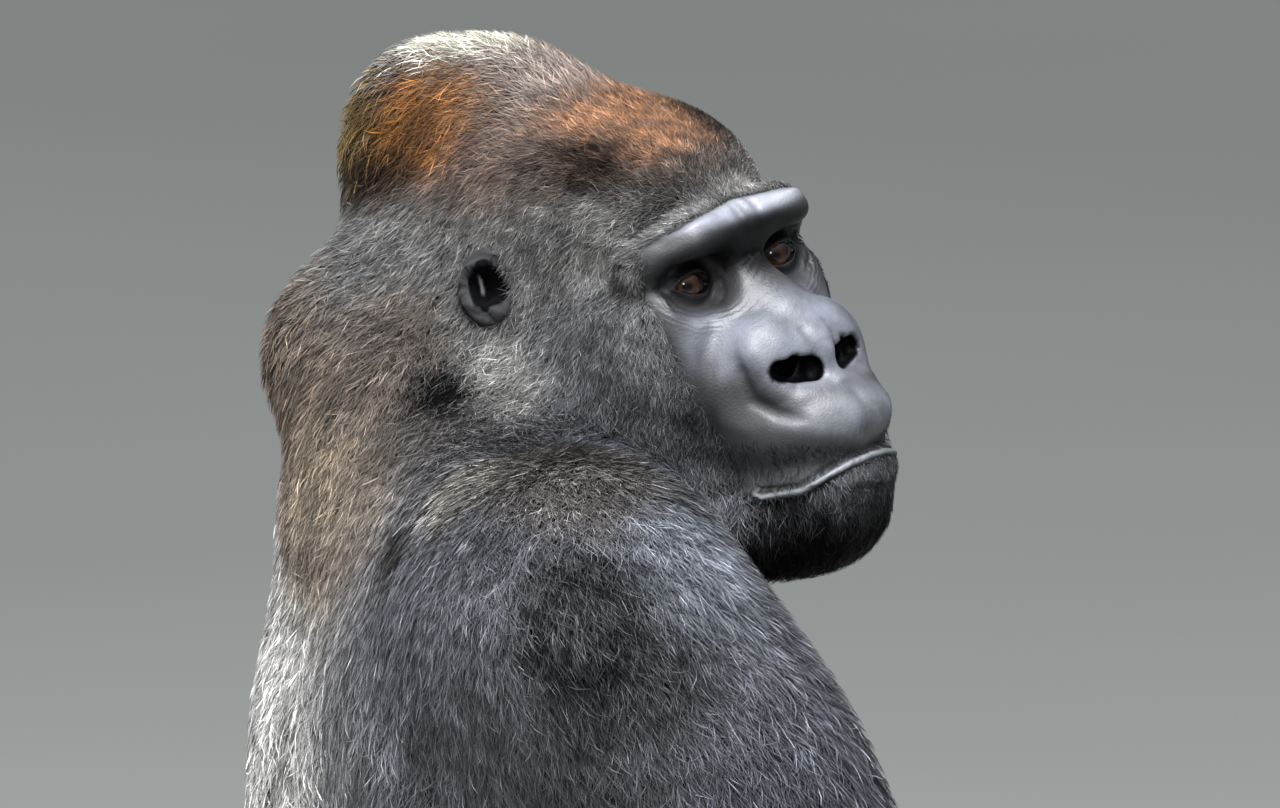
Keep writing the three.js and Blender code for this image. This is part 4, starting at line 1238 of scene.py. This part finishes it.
def eye_finish():
    """Pupil, spoked iris, dark rim and stained white, by polar angle, under a wet cornea."""
    f = Finish("eye", coat_weight=1.0, coat_roughness=0.02, specular_ior_level=0.1)
    uv = f.node("ShaderNodeUVMap", {"uv_map": "Eye"})
    polar = f.node("ShaderNodeSeparateXYZ", {}, {0: uv}, out=1)
    spokes = f.noise(f.node("ShaderNodeMapping", {}, {"Vector": uv, "Scale": (46.0, 9.0, 1.0)}), 1.0)
    where = polar + 0.006 * spokes - 0.003
    stops = [  # share of the iris's radius, colour
        (0.0, (0.002, 0.002, 0.002)), (0.27, (0.001, 0.001, 0.001)), (0.34, (0.050, 0.016, 0.006)),
        (0.62, (0.115, 0.037, 0.012)), (0.90, (0.050, 0.016, 0.006)), (1.0, (0.004, 0.002, 0.001)),
        (1.12, (0.010, 0.005, 0.003)), (2.1, (0.035, 0.017, 0.011)),
    ]
    edge = IRIS / math.pi
    stops = [(edge * share, colour) for share, colour in stops]
    ring = f.node("ShaderNodeValToRGB", {"stops": stops}, {0: where})
    colour = f.mix(0.5 * spokes, ring, f.mix(1.0, ring, (0.35, 0.30, 0.28), "MULTIPLY"))
    return f.connect(base_color=colour, roughness=0.12 + 0.2 * spokes)


def mesh_from(name, points, faces, material):
    """A smooth mesh object at the origin from points in the row frame and quads or triangles."""
    mesh = bpy.data.meshes.new(name)
    mesh.vertices.add(len(points))
    mesh.vertices.foreach_set("co", np.ascontiguousarray(points, np.float32).ravel())
    faces = np.asarray(faces, np.int32)
    mesh.loops.add(faces.size)
    mesh.loops.foreach_set("vertex_index", faces.ravel())
    mesh.polygons.add(len(faces))
    mesh.polygons.foreach_set("loop_start", np.arange(0, faces.size, faces.shape[1], dtype=np.int32))
    mesh.update(calc_edges=True)
    mesh.polygons.foreach_set("use_smooth", np.ones(len(faces), bool))
    mesh.materials.append(material)
    made = bpy.data.objects.new(name, mesh)
    bpy.context.collection.objects.link(made)
    return made


def corner_uv(mesh, name, uv):
    """A UV map from one (u, v) for each vertex."""
    layer = mesh.uv_layers.new(name=name)
    vertex = np.empty(len(mesh.loops), np.int32)
    mesh.loops.foreach_get("vertex_index", vertex)
    layer.data.foreach_set("uv", np.ascontiguousarray(uv[vertex], np.float32).ravel())


right_points, right_uv, right_faces = eye_surface(-1)
left_points, left_uv, left_faces = eye_surface(1)
eyes = mesh_from("eyes", np.concatenate([right_points, left_points]),
                 np.concatenate([right_faces, left_faces + len(right_points)]), eye_finish())
corner_uv(eyes.data, "Eye", np.concatenate([right_uv, left_uv]))
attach(eyes, "root")
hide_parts("eye_right", "eye_left")
print("eyes", len(eyes.data.polygons), "faces, iris radius mm", round(IRIS * EYE_RADIUS, 1))

# %% [markdown]
# Each toe and thumb ends in a broad dark nail: a shallow shield whose rim dips under the skin, on the sphere
# that rounds off the toe. At turn a across and e forwards its radius is r + 1.4 (1 - a^6)(1 - e^6) - 0.9. The
# finger nails face the palm, hidden in the folded hands, so they are left out.

# %% Nails
NAIL_ROWS, NAIL_COLUMNS = 17, 15
NAIL_TURN, NAIL_LIFT = 0.72, 0.62       # half angles in radians, across the toe and along it


def nail(mass, above):
    """Points of one shield at the far end of a toe or thumb."""
    ahead = unit(mass["b"] - mass["a"])
    out = unit(above - (above @ ahead) * ahead)
    beside = np.cross(ahead, out)
    a, e = np.meshgrid(np.linspace(-1, 1, NAIL_ROWS), np.linspace(-1, 1, NAIL_COLUMNS), indexing="ij")
    turn, lift = a * NAIL_TURN, NAIL_LIFT + e * NAIL_LIFT
    r = mass["rb"] + 1.4 * (1 - a ** 6) * (1 - e ** 6) - 0.9
    middle = np.cos(lift)[..., None] * out + np.sin(lift)[..., None] * ahead
    way = np.sin(turn)[..., None] * beside + np.cos(turn)[..., None] * middle
    return (mass["b"] + r[..., None] * way).reshape(-1, 3)


def nail_finish():
    """Dark horn with faint ridges."""
    f = Finish("nail", specular_ior_level=0.5)
    grain = f.noise(f.place((1, 1, 0.4)), 500.0)
    colour = f.mix(grain, (0.012, 0.011, 0.011), (0.05, 0.046, 0.043))
    return f.connect(base_color=colour, roughness=0.42 + 0.2 * grain)


shields = []
for same_side, f in ((list, np.ones(3)), (mirror, FLIP)):
    shields += [nail(toe, np.array([0, 0.1, 1.0])) for toe in settle(same_side(TOES))]
    shields += [nail(thumb, np.array([-0.35, 0.9, 0]) * f) for thumb in settle(same_side(FINGERS[-1:]))]
one, count = grid_faces(NAIL_ROWS, NAIL_COLUMNS), NAIL_ROWS * NAIL_COLUMNS
shield_faces = np.concatenate([one + i * count for i in range(len(shields))])
nails = mesh_from("nails", row(np.concatenate(shields)), shield_faces, nail_finish())
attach(nails, "root")
print("nails", len(shields))

# %% [markdown]
# ## The coat
# A real coat is hair; here it has to be a mesh, so it is drawn in tufts. A tuft is a thin ribbon of two or
# four triangles: broad a third of the way up, pointed at the tip. Its root sits in the skin and its stations
# follow the lie of the coat. Each station is then moved along the normal until it lies at its share of the
# coat's depth below the outline, depth (1 - lift), so every tip ends at or just under the solids' surface.
# Neighbours lean together into locks along the slope of a soft wave field, and every tuft has its own length,
# turn and tone. Roots are spread over the skin's triangles at random, denser where hair is short.

# %% Coat growth
WAVE_COUNT, STATIONS = 9, (0.38, 0.72, 1.0)     # waves in a field, and how far along a tuft its stations are
LOCK_WAVES = list(zip(unit(np.random.default_rng(3).normal(size=(WAVE_COUNT, 3))),
                      np.random.default_rng(4).uniform(0, 6.28, WAVE_COUNT)))


def lock_pull(p, wide):
    """Slope of the sum of sin(2 pi d.p / wide + f) over nine directions d."""
    return sum(np.cos(p @ d * (2 * math.pi / wide) + f)[:, None] * d for d, f in LOCK_WAVES)


def waves(p, wide):
    """Sum of sin(2 pi d.p / wide + f) over nine directions d, about -4 to 4."""
    return sum(np.sin(p @ d * (2 * math.pi / wide) + f) for d, f in LOCK_WAVES)


def spread_roots(co, tri, density, rng):
    """Random points on triangles, density of them for each square millimetre."""
    a, b, c = co[tri[:, 0]], co[tri[:, 1]], co[tri[:, 2]]
    area = np.linalg.norm(np.cross(b - a, c - a), axis=1) / 2
    wanted = area * density((a + b + c) / 3)
    counts = np.floor(wanted + rng.random(len(wanted))).astype(int)
    pick = np.repeat(np.arange(len(tri)), counts)
    u, v = rng.random(len(pick)), rng.random(len(pick))
    flip = u + v > 1
    u[flip], v[flip] = 1 - u[flip], 1 - v[flip]
    return a[pick] + u[:, None] * (b - a)[pick] + v[:, None] * (c - a)[pick]


def nearness(p):
    """1 on the head, right shoulder and upper back, where the coat is looked at closest; 0 far from them."""
    h = to_head(p)
    on_head = 1 - step(np.linalg.norm((h - (0, -70, -10)) / (1, 1.25, 1.15), axis=1), 160, 195)
    high = step(p[:, 2], 540, 660) * step(-p[:, 1], -260, -160) * step(-p[:, 0], -120, 60)
    return np.maximum(on_head * (0.45 + 0.55 * step(-h[:, 0], -60, 0)), high)


def tuft_width(p, length):
    """Width of a tuft: finest on the head and shoulders, broader where the coat is seen from afar."""
    return 0.115 * length ** 0.5 * (2.3 - 1.3 * nearness(p))


def tuft_density(p):
    """Tufts for each square millimetre: layers / (length width 0.5), few on stubble, none on bare skin."""
    _, length, _ = coat_at(p)
    layers = 1.3 + 2.0 * nearness(p)
    bald = bareness(p)
    return layers / (length * tuft_width(p, length) * 0.5) * (1 - step(bald, 0.3, 0.85)) ** 2


def grow(p, rng):
    """Four stations, the widths and the side directions of the tufts rooted at p."""
    count = len(p)
    d, n = read(OUTLINE, p)
    n = unit(n)
    depth, length, lie = coat_at(p)
    depth = np.clip(-d, 0.8, depth + 2)
    length = length * rng.uniform(0.6, 1.25, count) * (1 - 0.45 * bareness(p))
    lie = lie + 0.07 * lock_pull(p, 150.0) + rng.normal(0, 0.31, (count, 3))
    flat = unit(lie - (lie * n).sum(1, keepdims=True) * n)
    swerve = np.cross(n, flat) * (rng.normal(0, 0.28, count) * length)[:, None]
    long_hair = step(length, 16, 34)[:, None]
    pull = (1 - long_hair) * lock_pull(p, 15.0) * 0.35 + long_hair * lock_pull(p, 34.0) * 1.7
    top = 0.35 + 0.63 * rng.random(count) ** 0.7
    stations, sides = [p - 0.5 * n], []
    for s in STATIONS:
        lift = top * (1 - (1 - s) ** 1.7)
        guess = p + flat * (length * s)[:, None] + swerve * (s * s) - pull * s ** 1.6
        guess = guess + n * (depth * lift)[:, None]
        for _ in range(2):
            d, g = read(OUTLINE, guess)
            guess = guess - np.clip(d + depth * (1 - lift) + 0.15, -14, 14)[:, None] * unit(g)
        stations.append(guess)
    stations = np.stack(stations, 1)
    roll = rng.normal(0, 0.55, count)[:, None]
    for i in range(3):
        along = unit(stations[:, i + 1] - stations[:, max(i - 1, 0)])
        across = unit(np.cross(along, n))
        sides.append(across * np.cos(roll) + n * np.sin(roll))
    return stations, tuft_width(p, length) * rng.uniform(0.7, 1.3, count), np.stack(sides, 1)


def ribbon_mesh(stations, widths, sides, long_tufts):
    """Ribbons from a pointed root to a pointed tip: two triangles for a short tuft, four for a long one."""
    low, high, tip = STATIONS
    half = widths[:, None] / 2
    points = [stations[:, 0], stations[:, 1] - sides[:, 1] * half, stations[:, 1] + sides[:, 1] * half]
    share, across, local = [0.0, low, low, tip], [0.0, -0.5, 0.5, 0.0], [(0, 2, 1), (1, 2, 3)]
    if long_tufts:
        points += [stations[:, 2] - sides[:, 2] * half * 0.75, stations[:, 2] + sides[:, 2] * half * 0.75]
        share, across = [0.0, low, low, high, high, tip], [0.0, -0.5, 0.5, -0.5, 0.5, 0.0]
        local = [(0, 2, 1), (1, 2, 4), (1, 4, 3), (3, 4, 5)]
    points.append(stations[:, 3])
    faces = (np.arange(len(widths))[:, None, None] * len(points) + np.array(local)[None]).reshape(-1, 3)
    return np.stack(points, 1).reshape(-1, 3), faces, np.array(share), np.array(across)


# %% [markdown]
# The hair's finish takes its colour from the tufts and its satin shine from one layer. A faint sheen catches
# the light from above, as oily hair does, and the darkest tufts are made metallic, which takes it off them.

# %% Coat finish
def hair_finish(name, roughness):
    """Hair: the tuft's own tone, with fine streaks and a satin shine."""
    f = Finish(name, specular_ior_level=0.35, sheen_weight=0.05, sheen_roughness=0.4)
    streak = f.noise(f.place(), 700.0, 2.0)
    light_and_dark = f.mix(streak, (0.72, 0.72, 0.72), (1.25, 1.25, 1.25))
    colour = f.mix(1.0, f.attribute("Tint"), light_and_dark, "MULTIPLY")
    dull = f.attribute("Dull", "Fac")
    return f.connect(base_color=colour, roughness=roughness + 0.15 * streak, metallic=dull)


FINISHES = {"coat": hair_finish("charcoal coat", 0.42), "saddle": hair_finish("silver saddle", 0.5),
            "crown": hair_finish("rusty crown", 0.45)}

# %% [markdown]
# ## The coat's pieces
# The tufts are joined into one piece for each part of the body, and a large part is cut into two by height,
# so that no mesh grows too heavy. The map for baking gives each tuft a spot of its own: its root is unwrapped
# round the piece's middle, by turn and height, and the ribbon spreads a little about that spot.

# %% Coat pieces
REGIONS = [  # pieces of the coat and their finishes, in the order in which they are grown
    ("coat_head_right", "crown"), ("coat_head_left", "crown"), ("coat_back", "saddle"),
    ("coat_chest_belly", "coat"), ("coat_arm_right", "coat"), ("coat_arm_left", "coat"),
    ("coat_leg_right", "coat"), ("coat_leg_left", "coat"), ("coat_rump", "saddle"),
]


def region_of(p):
    """The place in REGIONS of the piece that each root belongs to."""
    h, across = to_head(p), np.abs(p[:, 0])
    in_head = np.linalg.norm((h - (0, -100, 0)) / (1, 1.3, 1.25), axis=1) < 165
    right, back = p[:, 0] < 0, p[:, 1] < 40
    forearm = (p[:, 1] > 330) & (p[:, 2] > 120) & (across < 300)
    arm = (across > 190) & (p[:, 2] > 330) | forearm
    low = p[:, 2] < 345
    places = [(in_head & (h[:, 0] < 0), 0), (in_head, 1), (arm & right, 4), (arm, 5),
              (low & back & (across < 190), 8), (low & right, 6), (low, 7), (back, 2)]
    return np.select([where for where, _ in places], [number for _, number in places], 3)


def unwrap(p, centre):
    """Turn about an upright axis through centre and height above it, as fractions."""
    q = p - centre
    reach = np.maximum(np.linalg.norm(q, axis=1), 1e-6)
    turn, lift = np.arctan2(q[:, 0], -q[:, 1]), np.arcsin(np.clip(q[:, 2] / reach, -1, 1))
    return np.stack([turn / (2 * math.pi) + 0.5, lift / math.pi + 0.5], 1)


def tuft_colours(p, rng):
    """Colours of root and tip: the markings', in light and dark locks, a fifth of them with pale bluish tips
    of painted sheen.
    """
    tone = np.exp(rng.normal(0, 0.5, len(p)) + 0.13 * waves(p, 13.0) + 0.07 * waves(p, 41.0))
    pale = rng.random(len(p)) < 0.20
    base = coat_colour(p + rng.normal(0, 5, p.shape)) * tone[:, None]
    grey = np.clip((base.mean(1) - 0.012) / 0.035, 0.03, 1) * (base.min(1) / base.max(1)) ** 2.2
    # painted sheen: the pale tips take a bluish grey, strongest on the paler, greyer coat
    tip = np.where(pale[:, None], base * 1.9 + linear((100, 103, 110)) * grey[:, None], base * 0.9)
    stubble = np.clip(bareness(p) * 2 - 0.3, 0, 1)[:, None]
    return base * (1 - 0.8 * stubble), tip * (1 - 0.75 * stubble)


def coat_piece(name, finish, p, rng):
    """One joined mesh of the tufts rooted at p, with their colours and the map for baking."""
    stations, widths, sides = grow(p, rng)
    length = np.linalg.norm(stations[:, 3] - stations[:, 0], axis=1)
    base, tip = tuft_colours(p, rng)
    flat_uv = unwrap(p, p.mean(0))
    flat_uv = 0.03 + 0.94 * (flat_uv - flat_uv.min(0)) / np.ptp(flat_uv, axis=0)
    parts, shift = [], 0
    for long_tufts in (False, True):
        some = (length > LONG) == long_tufts
        if not some.any():
            continue
        points, faces, share, across = ribbon_mesh(stations[some], widths[some], sides[some], long_tufts)
        t = share[None, :, None]
        colour = base[some][:, None, :] * (0.15 + 0.75 * t) * (1 - t) + tip[some][:, None, :] * t ** 1.4
        uv = flat_uv[some][:, None, :] + np.stack([across, share - 0.5], 1)[None] * 0.003
        dull = np.repeat(0.85 * (1 - step(base[some].mean(1), 0.008, 0.035)), len(share))
        parts.append((points, faces + shift, colour.reshape(-1, 3), uv.reshape(-1, 2), dull))
        shift += len(points)
    points, faces, colour, uv, dull = (np.concatenate(c) for c in zip(*parts))
    piece = mesh_from(name, row(points), faces, FINISHES[finish])
    add_attribute(piece.data, "Tint", "FLOAT_COLOR", rgba(colour))
    add_attribute(piece.data, "Dull", "FLOAT", dull)
    corner_uv(piece.data, "OFBake", uv)
    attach(piece, "root")
    print(name, len(p), "tufts", len(faces), "triangles, mean length mm", round(float(length.mean()), 1))
    return len(faces)


LONG = 21.0                             # a tuft longer than this gets four triangles, a shorter one two
PIECE = 196_000                         # triangles in one piece at most, by a rough count before it is grown
rng = np.random.default_rng(SEED)
roots = spread_roots(co, tri, tuft_density, rng)
region = region_of(roots)
coat_triangles = 0
for number, (name, finish) in enumerate(REGIONS):
    mine = roots[region == number]
    rough_count = np.where(coat_at(mine)[1] * 0.93 > LONG, 3.9, 2.3).sum()
    chunks = np.array_split(np.argsort(mine[:, 2]), int(np.ceil(rough_count / PIECE)))
    for part, chunk in enumerate(chunks, 1):
        piece_name = name if len(chunks) == 1 else f"{name}_{part}"
        coat_triangles += coat_piece(piece_name, finish, mine[chunk], rng)
print("coat triangles", coat_triangles)

# %% [markdown]
# ## Floor, light and camera
# A plain pale floor that is wide enough to run out of sight, one broad soft light overhead for the sheen on
# brow, nose and shoulders, and two weaker ones. The camera looks from the animal's right and a little behind,
# so that it meets the gaze.

# %% Stage
def floor_finish():
    """Matt pale floor with the faintest mottling."""
    f = Finish("studio floor", specular_ior_level=0.2)
    cloud = f.noise(f.place(), 0.7, 2.0)
    colour = f.mix(cloud, (0.27, 0.28, 0.26), (0.32, 0.33, 0.31))
    return f.connect(base_color=colour, roughness=0.8 + 0.1 * cloud)


FLOOR_HALF, FLOOR_Z = 30, -0.0005
corners = [(x * FLOOR_HALF, y * FLOOR_HALF, FLOOR_Z) for x, y in ((-1, -1), (1, -1), (1, 1), (-1, 1))]
floor = mesh_from("floor", np.array(corners), [(0, 1, 2, 3)], floor_finish())


def area_light(name, at, target, size, watts, colour):
    """A square soft light at a point, turned towards a target."""
    light = bpy.data.lights.new(name, "AREA")
    light.shape, light.size, light.energy, light.color = "SQUARE", size, watts, colour
    made = bpy.data.objects.new(name, light)
    made.location = at
    made.rotation_euler = (Vector(target) - Vector(at)).to_track_quat("-Z", "Y").to_euler()
    bpy.context.collection.objects.link(made)


def soft_sky():
    """A dome of light: bright and a little blue overhead, dim at the horizon."""
    world = bpy.data.worlds.new("soft sky")
    bpy.context.scene.world = world
    world.use_nodes = True
    sky = Nodes(world.node_tree)
    height = sky.node("ShaderNodeSeparateXYZ", {}, {0: sky.node("ShaderNodeTexCoord")}, out=2)
    stops = [(0.0, (0.10, 0.104, 0.108)), (0.3, (0.17, 0.177, 0.19)), (1.0, (0.95, 0.98, 1.03))]
    ramp = sky.node("ShaderNodeValToRGB", {"stops": stops}, {0: height})
    sky.tree.links.new(ramp.socket, sky.tree.nodes["Background"].inputs[0])


bpy.context.scene.view_settings.view_transform = "Standard"
soft_sky()
area_light("overhead", (-0.9, 0.5, 3.3), (-0.1, 0.1, 0.85), 1.5, 200, (0.95, 0.97, 1.0))
area_light("back fill", (-1.7, 2.8, 1.9), (-0.1, 0.2, 0.7), 1.2, 36, (0.97, 0.98, 1.0))
area_light("eye light", (-3.0, 0.5, 2.3), (-0.1, 0.1, 0.94), 0.5, 13, (1.0, 1.0, 1.0))

AZIMUTH, ELEVATION, DISTANCE = math.radians(255), math.radians(12), 9.0
VIEW_WIDTH, SENSOR = 0.7314, 36         # metres seen at the eyes' distance, and the sensor's width in mm
AIM_LEFT, AIM_DOWN = 0.0509, 0.0769     # the middle of the view from the eyes, in metres
level = math.cos(ELEVATION)
towards = Vector((math.sin(AZIMUTH) * level, -math.cos(AZIMUTH) * level, math.sin(ELEVATION)))
rightwards = (-towards).cross(Vector((0, 0, 1))).normalized()
upwards = rightwards.cross(-towards)
target = Vector(row(EYES)) - rightwards * AIM_LEFT - upwards * AIM_DOWN
camera_data = bpy.data.cameras.new("camera")
camera_data.sensor_width, camera_data.lens, camera_data.clip_end = SENSOR, SENSOR * DISTANCE / VIEW_WIDTH, 100
camera = bpy.data.objects.new("camera", camera_data)
camera.location = target + towards * DISTANCE
camera.rotation_euler = (-towards).to_track_quat("-Z", "Y").to_euler()
bpy.context.collection.objects.link(camera)
bpy.context.scene.camera = camera
print("camera height m", round(camera.location.z, 2))
